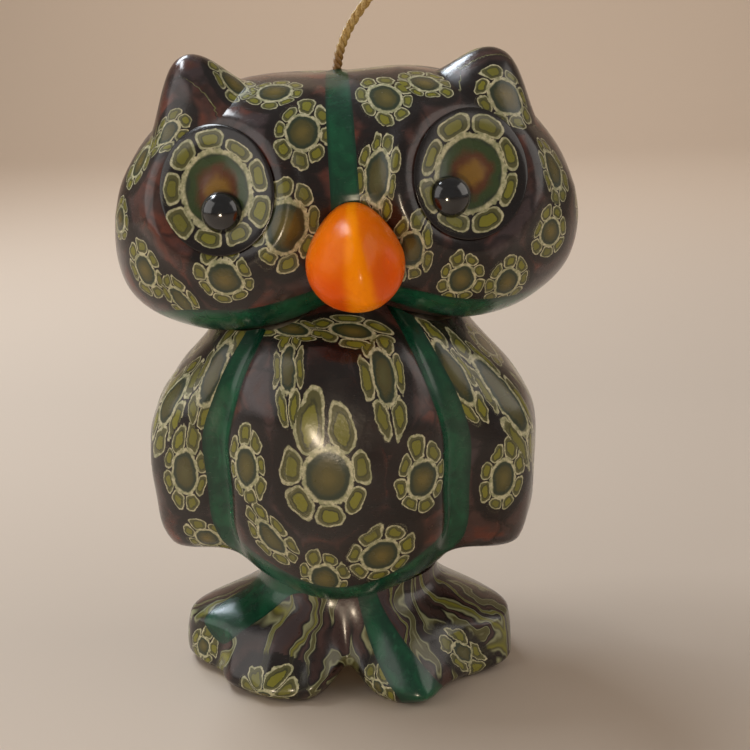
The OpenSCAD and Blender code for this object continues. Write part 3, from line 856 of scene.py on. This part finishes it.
def core_wax():
    """Plain pale core wax with soft mottling and cast pits."""
    c = bpy.context.scene.owl_colours
    bench = Bench("core_wax")
    where = bench.millimetres()
    mottle = bench.noise(where, 0.2, 4.0, 0.6).outputs[0]
    colour = bench.mix(bench.rise(0.35, 0.7, mottle), c.core, c.core_shade)
    pits = bench.noise(where, 0.9, 3.0, 0.6).outputs[0]
    rough = bench.sum("MULTIPLY_ADD", pits, 0.2, 0.42)
    return bench.finish(colour, rough, pits, 0.05)


def wick_cotton():
    """Waxed cotton: straw strands with fine fibres, darker and soaked at the foot."""
    c = bpy.context.scene.owl_colours
    bench = Bench("wick_cotton")
    where = bench.millimetres()
    fibre = bench.noise(where, 3.2, 4.0, 0.7).outputs[0]
    colour = bench.mix(bench.rise(0.35, 0.7, fibre), c.wick_shade, c.wick)
    height_up = bench.parts(where)[2]
    soaked = bench.rise(136.5, 132.5, height_up)
    colour = bench.mix(bench.sum("MULTIPLY", soaked, 0.8), colour, c.wick_foot)
    rough = bench.sum("MULTIPLY_ADD", fibre, 0.25, 0.38)
    return bench.finish(colour, rough, fibre, 0.12, Coat_Weight=0.25, Coat_Roughness=0.25)


def shared(name, make):
    """The material of that name, made the first time that it is asked for."""
    found = bpy.data.materials.get(name + "_finish")
    return found if found else make()


# ---------------------------------------------------------------- settings


def colour_setting(name, words, rgb):
    return bpy.props.FloatVectorProperty(
        name=name, description=words, subtype="COLOR", size=3, min=0, max=1, default=tone(*rgb)
    )


class OwlSizes(bpy.types.PropertyGroup):
    """Sizes that a user may change."""

    lump_height: bpy.props.FloatProperty(
        name="Lump height", description="How uneven the hand-moulded wax is", default=0.00028,
        min=0, max=0.001, precision=5, unit="LENGTH", subtype="DISTANCE",
    )
    sheet_thickness: bpy.props.FloatProperty(
        name="Sheet thickness", description="Thickness of the wax sheets and strips", default=0.0022,
        min=0.001, max=0.0022, precision=4, unit="LENGTH", subtype="DISTANCE",
    )
    wick_diameter: bpy.props.FloatProperty(
        name="Wick diameter", description="Width across the twisted wick", default=0.002,
        min=0.0015, max=0.0025, precision=4, unit="LENGTH", subtype="DISTANCE",
    )
    strand_turns: bpy.props.FloatProperty(
        name="Strand turns", description="How often the wick's strands go round over its length",
        default=7.0, min=3, max=12,
    )
    pupil_radius: bpy.props.FloatProperty(
        name="Pupil radius", description="Radius of the black beads", default=0.0041,
        min=0.003, max=0.0044, precision=4, unit="LENGTH", subtype="DISTANCE",
    )
    flower_size: bpy.props.FloatProperty(
        name="Back flower size", description="Half width of the flowers on the sides and back",
        default=0.0058, min=0.004, max=0.007, precision=4, unit="LENGTH", subtype="DISTANCE",
    )


class OwlColours(bpy.types.PropertyGroup):
    """Wax, bead and wick colours that a user may change."""

    ground: colour_setting("Ground", "Dark wax between the flowers", (70, 48, 44))
    ground_red: colour_setting("Ground red", "Red patches in the dark wax", (100, 54, 42))
    ground_plum: colour_setting("Ground plum", "Plum grey patches in the dark wax", (66, 54, 56))
    ground_black: colour_setting("Ground black", "Veins and the rims round flowers", (20, 14, 13))
    cream: colour_setting("Cream", "Rings and petal edges", (206, 200, 166))
    cream_shade: colour_setting("Cream shade", "Thin or dull cream", (146, 148, 112))
    olive: colour_setting("Olive", "Petal body", (88, 87, 52))
    leaf: colour_setting("Leaf", "Petal middle", (126, 124, 40))
    line: colour_setting("Line", "Thin dark line in a petal", (58, 60, 34))
    amber: colour_setting("Amber", "Middle of a flower", (114, 98, 46))
    olive_brown: colour_setting("Olive brown", "Round the middle of a flower", (80, 76, 42))
    moss: colour_setting("Moss", "Rim of a flower's disc", (48, 58, 42))
    green: colour_setting("Green", "Green strips", (20, 84, 56))
    green_dark: colour_setting("Green dark", "Green strips, deeper", (12, 60, 42))
    green_deep: colour_setting("Green deep", "Darkest green clouds", (8, 46, 34))
    green_pale: colour_setting("Green pale", "Pale streaks in the green", (48, 112, 82))
    eye_amber: colour_setting("Eye amber", "Middle of an eye slice", (132, 98, 36))
    eye_brown: colour_setting("Eye brown", "Round the middle of an eye slice", (92, 54, 30))
    eye_green: colour_setting("Eye green", "Inner green of an eye slice", (56, 72, 40))
    bead: colour_setting("Bead", "Black pupils", (10, 10, 13))
    bead_shade: colour_setting("Bead shade", "Clouds in the black pupils", (20, 21, 27))
    orange: colour_setting("Orange", "Beak", (240, 118, 0))
    # Painted highlight along the beak's ridge.
    orange_highlight: colour_setting("Orange bright", "Beak's ridge", (255, 144, 0))
    # Painted shade low on the beak's flanks, also used for random mottling.
    orange_shade_and_mottle: colour_setting("Orange red", "Beak's lower flanks", (226, 88, 0))
    core: colour_setting("Core", "Plain wax inside", (196, 184, 160))
    core_shade: colour_setting("Core shade", "Mottling of the plain wax", (176, 160, 134))
    wick: colour_setting("Wick", "Waxed cotton", (216, 184, 116))
    wick_shade: colour_setting("Wick shade", "Between the fibres", (160, 122, 58))
    wick_foot: colour_setting("Wick foot", "Soaked cotton at the crown", (120, 76, 24))
    backdrop: colour_setting("Backdrop", "Floor and sweep", (206, 189, 172))


# ---------------------------------------------------------------- pieces


def skin_steps():
    return (0.08, 0.08)


def thick():
    return bpy.context.scene.owl_sizes.sheet_thickness * 1000


def side_band(side, edge):
    """An edge of a wing strip: edge -1 lies nearer the breast, +1 nearer the back."""
    return lambda el: side * (wing_edge(el) + edge * band_w(el))


def head_flowers():
    size = bpy.context.scene.owl_sizes.flower_size * 1000
    spread = spread_flowers(5, [-40, -22, -3, 16, 36, 56, 74], 15.5, head, 84, size)
    return flower_frames(head, HEAD_FLOWERS + spread, skin_steps(), 10)


def body_flowers():
    size = bpy.context.scene.owl_sizes.flower_size * 1000
    spread = spread_flowers(8, [-42, -24, -4, 16, 34], 15.0, body, 76, size)
    return flower_frames(body, BODY_FLOWERS + spread, skin_steps(), 200)


def foot_flowers():
    spread = spread_flowers(3, [0.55], 16.0, foot, 112, 5.0)
    spread = [(u, 0.55, *rest) for u, _, *rest in spread]
    return flower_frames(foot, FOOT_FLOWERS + spread, (0.08, -0.0008), 400)


def lay_sheets(names, surface, edges, flowers, smear, material, steps, run):
    for name, (left, right, low, high, rows, cols) in zip(names, edges):
        a, b = panel(left, right, low, high, rows, cols)
        amount = None if smear is None else smear(a, b)
        slab(name, surface, a, b, thick(), steps, material, flowers, amount, run)


class OWL_OT_camera(bpy.types.Operator):
    """Place the camera in front of the owl, a little above it and to its right."""

    bl_idname = "owl.camera"
    bl_label = "Camera"

    def execute(self, context):
        data = bpy.data.cameras.new("camera")
        data.sensor_fit, data.sensor_width = "HORIZONTAL", 36.0
        data.lens, data.clip_start, data.clip_end = 61.56, 0.01, 20.0
        camera = bpy.data.objects.new("camera", data)
        context.scene.collection.objects.link(camera)
        spin = (
            Matrix.Rotation(math.radians(2.67), 4, "Z")
            @ Matrix.Rotation(math.radians(73.87), 4, "X")
            @ Matrix.Rotation(math.radians(-1.765), 4, "Z")
        )
        camera.matrix_world = Matrix.Translation(Vector((0.0176, -0.2635, 0.1436))) @ spin
        context.scene.camera = camera
        return {"FINISHED"}


def wick_path(count=70):
    """The wick's middle line: a smooth curve through seven points up from the crown and over to the right."""
    crown = head(np.zeros(1), np.full(1, 90.0))[0] - np.array([0, 0, 0.5])
    knots = np.array(
        [
            (0, 0, -0.4), (0.9, 0, 4.2), (3.4, 0.2, 9.4), (7.6, 0.6, 14.8),
            (12.8, 1.2, 19.4), (18.6, 1.8, 22.4), (23, 2.2, 23.6),
        ]
    )
    knots = np.concatenate([[2 * knots[0] - knots[1]], knots, [2 * knots[-1] - knots[-2]]])
    t = np.linspace(0, 6 - 1e-9, count)
    k = t.astype(int)
    f = (t - k)[:, None]
    a, b, c, d = knots[k], knots[k + 1], knots[k + 2], knots[k + 3]
    curve = b + f * (c - a) / 2 + f**2 * (2 * a - 5 * b + 4 * c - d) / 2
    return crown + curve + f**3 * (3 * b - a - 3 * c + d) / 2


def wick_mesh(material):
    """Three strands round the middle line, each a tube that winds as it goes, narrowing to closed ends."""
    sizes = bpy.context.scene.owl_sizes
    path = wick_path(150)
    along = np.gradient(path, axis=0)
    along /= np.linalg.norm(along, axis=1, keepdims=True)
    right = np.cross(along, [0, 1.0, 0])
    right /= np.linalg.norm(right, axis=1, keepdims=True)
    up = np.cross(right, along)
    t = np.linspace(0, 1, len(path))
    width = sizes.wick_diameter * 1000
    strand_r = 0.27 * width * np.sqrt(np.clip(np.minimum(t, 1 - t) / 0.012, 0.0004, 1))
    turns = 14
    round_ = np.linspace(0, 2 * np.pi, turns, endpoint=False)
    points, quads, caps = [], [], []
    for strand in range(3):
        angle = 2 * np.pi * (strand / 3 + sizes.strand_turns * t)
        lean = right * np.cos(angle)[:, None] + up * np.sin(angle)[:, None]
        middle = path + lean * 0.235 * width
        cross = np.cross(along, lean)
        ring = lean[:, None] * np.cos(round_)[None, :, None] + cross[:, None] * np.sin(round_)[None, :, None]
        tube = middle[:, None] + ring * strand_r[:, None, None]
        base = sum(len(p) for p in points)
        index = base + np.arange(len(path) * turns).reshape(len(path), turns)
        on = np.roll(index, -1, 1)
        quads.append(np.stack([index[:-1], on[:-1], on[1:], index[1:]], -1).reshape(-1, 4))
        first, last = base + len(path) * turns, base + len(path) * turns + 1
        caps.append(np.stack([np.full(turns, first), on[0], index[0]], -1))
        caps.append(np.stack([np.full(turns, last), index[-1], on[-1]], -1))
        points += [tube.reshape(-1, 3), middle[:1], middle[-1:]]
    points, quads, caps = np.concatenate(points), np.concatenate(quads), np.concatenate(caps)
    f = face_normals(points, quads)
    first_strand = quads[: (len(path) - 1) * turns]
    spoke = points[first_strand].mean(1) - np.repeat(path[:-1] + 0 * path[1:], turns, 0)
    if (f[: len(first_strand)] * spoke).sum() < 0:
        quads, caps = quads[:, ::-1], caps[:, ::-1]
    return put_in_scene("wick_strands", points, [quads, caps], None, {}, material, ["wick"])


class OWL_OT_wick(bpy.types.Operator):
    """Twist the waxed cotton wick and set it in the crown."""

    bl_idname = "owl.wick"
    bl_label = "Wick"

    def execute(self, context):
        material = wick_cotton()
        wick = wick_mesh(material)
        path = wick_path(30)
        length = float(np.linalg.norm(np.diff(wick_path(300), axis=0), axis=1).sum()) * MM
        dress(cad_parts["wick_buried"], material)
        return {"FINISHED"}


def dress(node, material):
    """Give a frame node that stays as it is its material."""
    if node.material_slots:
        for slot in node.material_slots:
            slot.material = material
    else:
        node.data.materials.append(material)


class OWL_OT_cores(bpy.types.Operator):
    """Give the plain wax cores their finish."""

    bl_idname = "owl.cores"
    bl_label = "Cores"

    def execute(self, context):
        for name in ("head_core", "body_core", "feet_core"):
            dress(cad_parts[name], shared("core_wax", core_wax))
        return {"FINISHED"}


class OWL_OT_head_sheets(bpy.types.Operator):
    """Lay the patterned sheets on the head: both sides of the face, the back and under the chin."""

    bl_idname = "owl.head_sheets"
    bl_label = "Head sheets"

    def execute(self, context):
        crown = flat(CROWN_EL)
        edges = [
            (flat(-SIDE_AZ), lambda el: -brow_az(el), jaw_top, crown, 130, 130),
            (brow_az, flat(SIDE_AZ), jaw_top, crown, 130, 130),
            (flat(SIDE_AZ), flat(360 - SIDE_AZ), neck_el, crown, 200, 120),
            (flat(-44), flat(54), neck_el, jaw_low, 130, 14),
        ]
        names = ["face_sheet_left", "face_sheet_right", "head_back_sheet", "chin_sheet"]
        lay_sheets(
            names, head, edges, head_flowers(), None, shared("patterned_wax", patterned_wax),
            skin_steps(), (0.6, 0.5),
        )
        return {"FINISHED"}


class OWL_OT_green_strips(bpy.types.Operator):
    """Lay the green strips: brow, jaw, wing edges, belly hem, leg and toe."""

    bl_idname = "owl.green_strips"
    bl_label = "Green strips"

    def execute(self, context):
        wax = shared("green_wax", green_wax)
        edges = [
            (lambda el: -brow_az(el), brow_az, jaw_top, flat(CROWN_EL), 24, 130),
            (flat(-SIDE_AZ), flat(0), jaw_low, jaw_top, 130, 26),
            (flat(0), flat(SIDE_AZ), jaw_low, jaw_top, 130, 26),
        ]
        names = ["brow_band", "jaw_band_left", "jaw_band_right"]
        lay_sheets(names, head, edges, (), None, wax, skin_steps(), (0.6, 0.5))
        edges = [
            (side_band(-1, 1), side_band(-1, -1), hip_el, top_el, 30, 130),
            (side_band(1, -1), side_band(1, 1), hip_el, top_el, 30, 130),
            (side_band(-1, -1), side_band(1, -1), hip_el, hem_el, 110, 26),
        ]
        names = ["wing_band_left", "wing_band_right", "belly_hem"]
        lay_sheets(names, body, edges, (), None, wax, skin_steps(), (0.6, 0.6))
        edges = [
            (flat(-150), flat(-12), leg_end, flat(0), 130, 26),
            (toe_in, toe_out, flat(1), flat(0), 30, 80),
        ]
        names = ["leg_band", "toe_band"]
        lay_sheets(names, foot, edges, (), None, wax, (0.08, -0.0008), (0.5, 40))
        return {"FINISHED"}


class OWL_OT_body_sheets(bpy.types.Operator):
    """Lay the patterned sheets on the body: breast, both wings and the back."""

    bl_idname = "owl.body_sheets"
    bl_label = "Body sheets"

    def execute(self, context):
        edges = [
            (side_band(-1, -1), side_band(1, -1), hem_el, top_el, 120, 130),
            (flat(-124), side_band(-1, 1), hip_el, top_el, 130, 130),
            (side_band(1, 1), flat(124), hip_el, top_el, 130, 130),
            (flat(124), flat(236), hip_el, top_el, 130, 130),
        ]
        names = ["breast_sheet", "wing_left", "wing_right", "back_sheet"]
        lay_sheets(
            names, body, edges, body_flowers(),
            lambda az, el: 0.75 * smooth(40, 60, away(az)) * smooth(2, 22, el),
            shared("patterned_wax", patterned_wax), skin_steps(), (0.6, 0.6),
        )
        return {"FINISHED"}


class OWL_OT_feet_sheets(bpy.types.Operator):
    """Lay the drawn-out sheets on the feet: left, right, instep and heel."""

    bl_idname = "owl.feet_sheets"
    bl_label = "Feet sheets"

    def execute(self, context):
        edges = [
            (flat(-150), flat(-12), flat(1), leg_end, 150, 70),
            (flat(-12), toe_in, flat(1), flat(0), 40, 80),
            (toe_out, flat(150), flat(1), flat(0), 130, 80),
            (flat(150), flat(210), flat(1), flat(0), 60, 80),
        ]
        names = ["foot_sheet_left", "instep_sheet", "foot_sheet_right", "heel_sheet"]
        lay_sheets(
            names, foot, edges, foot_flowers(), lambda u, t: 1.0 + 0 * u,
            shared("patterned_wax_drawn", lambda: patterned_wax(True)),
            (0.08, -0.0008), (0.5, 40),
        )
        return {"FINISHED"}


def on_face(x, z, h):
    """A point h above the face at a place seen from the front."""
    return set_on_neck(x, face_y(x, z) - h, z)


def disc_slice(side, radius):
    """An eye slice: from its middle over a low dome to its edge, then back under to its middle."""

    def surface(t, turn):
        over = t <= 0.75
        q = np.where(over, np.sin(np.clip(t / 0.75, 0, 1) * np.pi / 2), np.clip((1 - t) / 0.25, 0, 1))
        x = side * EYE_X + radius * 1.02 * q * np.cos(np.radians(turn))
        z = EYE_Z + radius * 1.11 * q * np.sin(np.radians(turn))
        return on_face(x, z, np.where(over, slice_rise(q), -0.9))

    return surface


class OWL_OT_eyes(bpy.types.Operator):
    """Press the eye slices into their hollows and set the black beads on them."""

    bl_idname = "owl.eyes"
    bl_label = "Eyes"

    def execute(self, context):
        wax = shared("eye_wax", eye_wax)
        bead = shared("black_wax", black_wax)
        r = context.scene.owl_sizes.pupil_radius * 1000
        eyes = [("left", -1, (0.7, -4.2), 0.15, 71), ("right", 1, (-4.4, -3.9), 0.45, 74)]
        for name, side, offset, start, seed in eyes:
            middle = on_face(np.array(side * EYE_X), np.array(EYE_Z), 0.0)

            def values(points, middle=middle, start=start, seed=seed, side=side):
                turn, lean = np.radians(4), np.radians(1.8)
                across = np.array([np.cos(turn), np.sin(turn), 0.0])
                up = np.array([-np.sin(lean), 0, np.cos(lean)])
                d = points - middle
                x, y = (d @ across) / (EYE_R * 1.03), (d @ up) / (EYE_R * 1.10)
                flower = np.stack([x, y, np.full_like(x, seed + start)], -1)
                count = 9 if side < 0 else 8
                petals = np.full(x.shape + (3,), (count, 0.56, 0.6))
                return {"flower": flower, "petals": petals}

            ball(
                "eye_slice_" + name, disc_slice(side, EYE_R), 44, 96, wax,
                ["eye_slice_" + name], values,
            )
            ex, ez = side * EYE_X + offset[0], EYE_Z + offset[1]
            q0 = np.hypot(*offset) / EYE_R
            base = float(slice_rise(np.array(q0)))

            def bead_shape(t, turn, ex=ex, ez=ez, base=base):
                """A pressed ball: a circle of the bead's radius, its depth three quarters of that."""
                a = np.pi * t
                x = ex + r * np.sin(a) * np.cos(np.radians(turn))
                z = ez + r * np.sin(a) * np.sin(np.radians(turn))
                y = face_y(np.array(ex), np.array(ez)) - base - 0.35 - 0.78 * r * np.cos(a)
                return set_on_neck(x, y, z)

            ball("pupil_" + name, bead_shape, 40, 64, bead, ["pupil_" + name])
        return {"FINISHED"}


def beak_shape(t, turn):
    """A squircle egg, narrower at its top, with a ridge, a scooped right flank and a low dent."""
    el, az = 90 - 180 * t, turn
    d = ray(az, el)
    n = 2.2
    s = (
        np.abs(d[..., 0] / 9.3) ** n + np.abs(d[..., 1] / 12.2) ** n + np.abs(d[..., 2] / 10.6) ** n
    ) ** (-1 / n)
    x, y, z = d[..., 0] * s, d[..., 1] * s, d[..., 2] * s
    x = x * np.where(z < 0, (1 - 0.02 * z) * (1 - 0.2 * (z / 10.6) ** 2), 1 - 0.032 * z)
    z = z * np.where(z > 0, 0.9, 1.0)
    front = smooth(2, -8, y)
    y = y - 0.2 * (-z - 2) - 30.2
    ridge = hump(x - 1.3 + 0.13 * z, 2.6 - 0.12 * z) * smooth(11, 4, z) * smooth(-10.8, -7, z)
    scoop = hump(x - 5.8, 2.2) * hump(z + 1.5, 5.0)
    dent = hump(x + 2.4, 2.0) * hump(z + 8.6, 2.0)
    y = y - front * (1.1 * ridge - 1.8 * scoop - 1.5 * dent)
    x, z = x + 1.1, z - 7
    y = np.minimum(y, face_y(x, z) - 0.1)
    return set_on_neck(x, y, z)


class OWL_OT_beak(bpy.types.Operator):
    """Model the orange beak with its ridge and pinched flanks."""

    bl_idname = "owl.beak"
    bl_label = "Beak"

    def execute(self, context):
        low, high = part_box("beak")
        middle = (np.array(low) + np.array(high)) / 2 * 1000

        def values(points):
            x, z = points[:, 0] - middle[0], points[:, 2] - middle[2]
            # ridge: nearness to the beak's ridge, for its painted highlight; deep: lowness on the flanks or
            # in the right flank's scoop, for its painted shade.
            ridge = hump(x - 0.9 + 0.13 * z, 2.9 - 0.17 * z)
            deep = smooth(3, -8, z) * smooth(0.5, 4, np.abs(x - 1.0)) + 0.5 * hump(x - 6, 2.2) * hump(z, 5)
            return {"beak": np.stack([ridge, deep, 0 * x], -1)}

        ball("beak_wax", beak_shape, 90, 140, orange_wax(), ["beak"], values)
        return {"FINISHED"}


def ear_shape(az0, el0, height, side):
    """A pinched tuft: the head's own surface, lifted most at its middle and not at its edge, then under."""

    def surface(t, turn):
        over = t <= 0.8
        q = np.where(over, np.clip(t / 0.8, 0, 1) ** 1.3, np.clip((1 - t) / 0.2, 0, 1))
        a = az0 + 20 * q * np.cos(np.radians(turn))
        up = np.sin(np.radians(turn))
        b = el0 + np.where(up > 0, 18, 13) * q * up
        skin = head(a, b)
        rise = height * (1 - q**2.1) ** 2.0 - 0.10 * smooth(0.75, 1, q)
        lift = np.stack([0 * q + side * 0.22, 0 * q + 0.05, 0 * q + 1.0], -1)
        inner = head(a, b, 1.2)
        return np.where(over[..., None], skin + lift * rise[..., None], inner)

    return surface


class OWL_OT_ears(bpy.types.Operator):
    """Pinch up the two ear tufts at the corners of the head."""

    bl_idname = "owl.ears"
    bl_label = "Ear tufts"

    def execute(self, context):
        wax = shared("patterned_wax", patterned_wax)
        for name, az, el, height, side in [
            ("ear_tuft_left", -70, 31, 9.2, -1),
            ("ear_tuft_right", 75, 29, 7.6, 1),
        ]:
            shape = ear_shape(az, el, height, side)
            flowers = head_flowers()

            def values(points, flowers=flowers):
                found = flower_values(points, np.arange(len(points))[:, None].repeat(4, 1), flowers)
                found = {k: v.reshape(-1, 4, 3)[:, 0] for k, v in found.items()}
                found["lay"] = np.zeros((len(points), 3))
                return found

            ball(name, shape, 60, 120, wax, [name], values)
        return {"FINISHED"}


class OWL_OT_stage(bpy.types.Operator):
    """Set the pale floor, its sweep and the soft lights."""

    bl_idname = "owl.stage"
    bl_label = "Stage"

    def execute(self, context):
        c = context.scene.owl_colours
        turn = np.linspace(0, np.pi / 2, 24)
        y = np.concatenate([[-2.5, 0.0], 1.0 + 0.6 * np.sin(turn), [1.6]])
        z = np.concatenate([[0.0, 0.0], 0.6 - 0.6 * np.cos(turn), [3.0]])
        x = np.array([-3.0, 3.0])
        points = np.stack(
            [np.repeat(x, len(y)), np.tile(y, 2), np.tile(z, 2)], -1
        )
        k = np.arange(len(y) - 1)
        faces = np.stack([k, k + len(y), k + len(y) + 1, k + 1], -1)
        mesh = bpy.data.meshes.new("floor")
        mesh.from_pydata(points.tolist(), [], faces.tolist())
        mesh.polygons.foreach_set("use_smooth", np.ones(len(faces), bool))
        bench = Bench("backdrop")
        where = bench.node("TexCoord").outputs["Object"]
        cloud = bench.noise(where, 3.0, 2.0, 0.5).outputs[0]
        base = bench.mix(bench.sum("MULTIPLY", cloud, 0.06), tuple(c.backdrop), (0.45, 0.38, 0.32))
        mesh.materials.append(bench.finish(base, 0.9))
        floor = bpy.data.objects.new("floor", mesh)
        context.scene.collection.objects.link(floor)
        aim = Vector((0.0, 0.0, 0.075))
        lights = [
            ("window", (-0.34, 0.40, 0.58), (0.34, 0.14), 2.4, (0.80, 0.90, 1.0)),
            ("lamp", (-0.06, -0.55, 0.015), (0.05, 0.05), 0.8, (1.0, 0.82, 0.60)),
            ("fill", (0.80, -0.10, 0.50), (0.80, 0.70), 2.2, (1.0, 0.93, 0.86)),
            ("side", (-0.80, -0.30, 0.45), (0.90, 0.80), 2.6, (1.0, 0.96, 0.92)),
            ("above", (-0.46, 0.14, 0.84), (0.36, 0.14), 2.8, (0.90, 0.95, 1.0)),
            ("wall", (0.0, 0.55, 0.90), (0.80, 0.30), 6.5, (1.0, 0.90, 0.80)),
        ]
        for name, place, size, power, colour in lights:
            data = bpy.data.lights.new(name, "AREA")
            data.shape, data.size, data.size_y = "RECTANGLE", size[0], size[1]
            data.energy, data.color = power, colour
            light = bpy.data.objects.new(name, data)
            light.location = place
            at = Vector((0, 1.6, 0.5)) if name == "wall" else aim
            light.rotation_euler = (at - Vector(place)).to_track_quat("-Z", "Y").to_euler()
            context.scene.collection.objects.link(light)
        world = bpy.data.worlds.new("room")
        world.use_nodes = True
        sky = world.node_tree.nodes["Background"]
        sky.inputs[0].default_value = (1.0, 0.94, 0.87, 1)
        sky.inputs[1].default_value = 0.22
        context.scene.world = world
        context.scene.view_settings.view_transform = "Standard"
        return {"FINISHED"}


class OWL_PT_candle(bpy.types.Panel):
    """The owl candle's pieces and settings."""

    bl_idname = "OWL_PT_candle"
    bl_label = "Owl candle"
    bl_space_type = "VIEW_3D"
    bl_region_type = "UI"
    bl_category = "Owl candle"

    def draw(self, context):
        column = self.layout.column(align=True)
        for step in STEPS:
            column.operator("owl." + step)
        for group in (context.scene.owl_sizes, context.scene.owl_colours):
            box = self.layout.box()
            for key in group.__annotations__:
                box.prop(group, key)


STEPS = (
    "camera", "wick", "cores", "head_sheets", "green_strips", "eyes", "beak", "ears",
    "body_sheets", "feet_sheets", "stage",
)
CLASSES = (
    OwlSizes, OwlColours, OWL_OT_camera, OWL_OT_wick, OWL_OT_cores, OWL_OT_head_sheets,
    OWL_OT_green_strips, OWL_OT_eyes, OWL_OT_beak, OWL_OT_ears, OWL_OT_body_sheets,
    OWL_OT_feet_sheets, OWL_OT_stage, OWL_PT_candle,
)


def register():
    for each in CLASSES:
        bpy.utils.register_class(each)
    bpy.types.Scene.owl_sizes = bpy.props.PointerProperty(type=OwlSizes)
    bpy.types.Scene.owl_colours = bpy.props.PointerProperty(type=OwlColours)


def unregister():
    del bpy.types.Scene.owl_colours
    del bpy.types.Scene.owl_sizes
    for each in reversed(CLASSES):
        bpy.utils.unregister_class(each)


def main():
    register()
    for step in STEPS:
        getattr(bpy.ops.owl, step)()


if __name__ == "__main__":
    main()
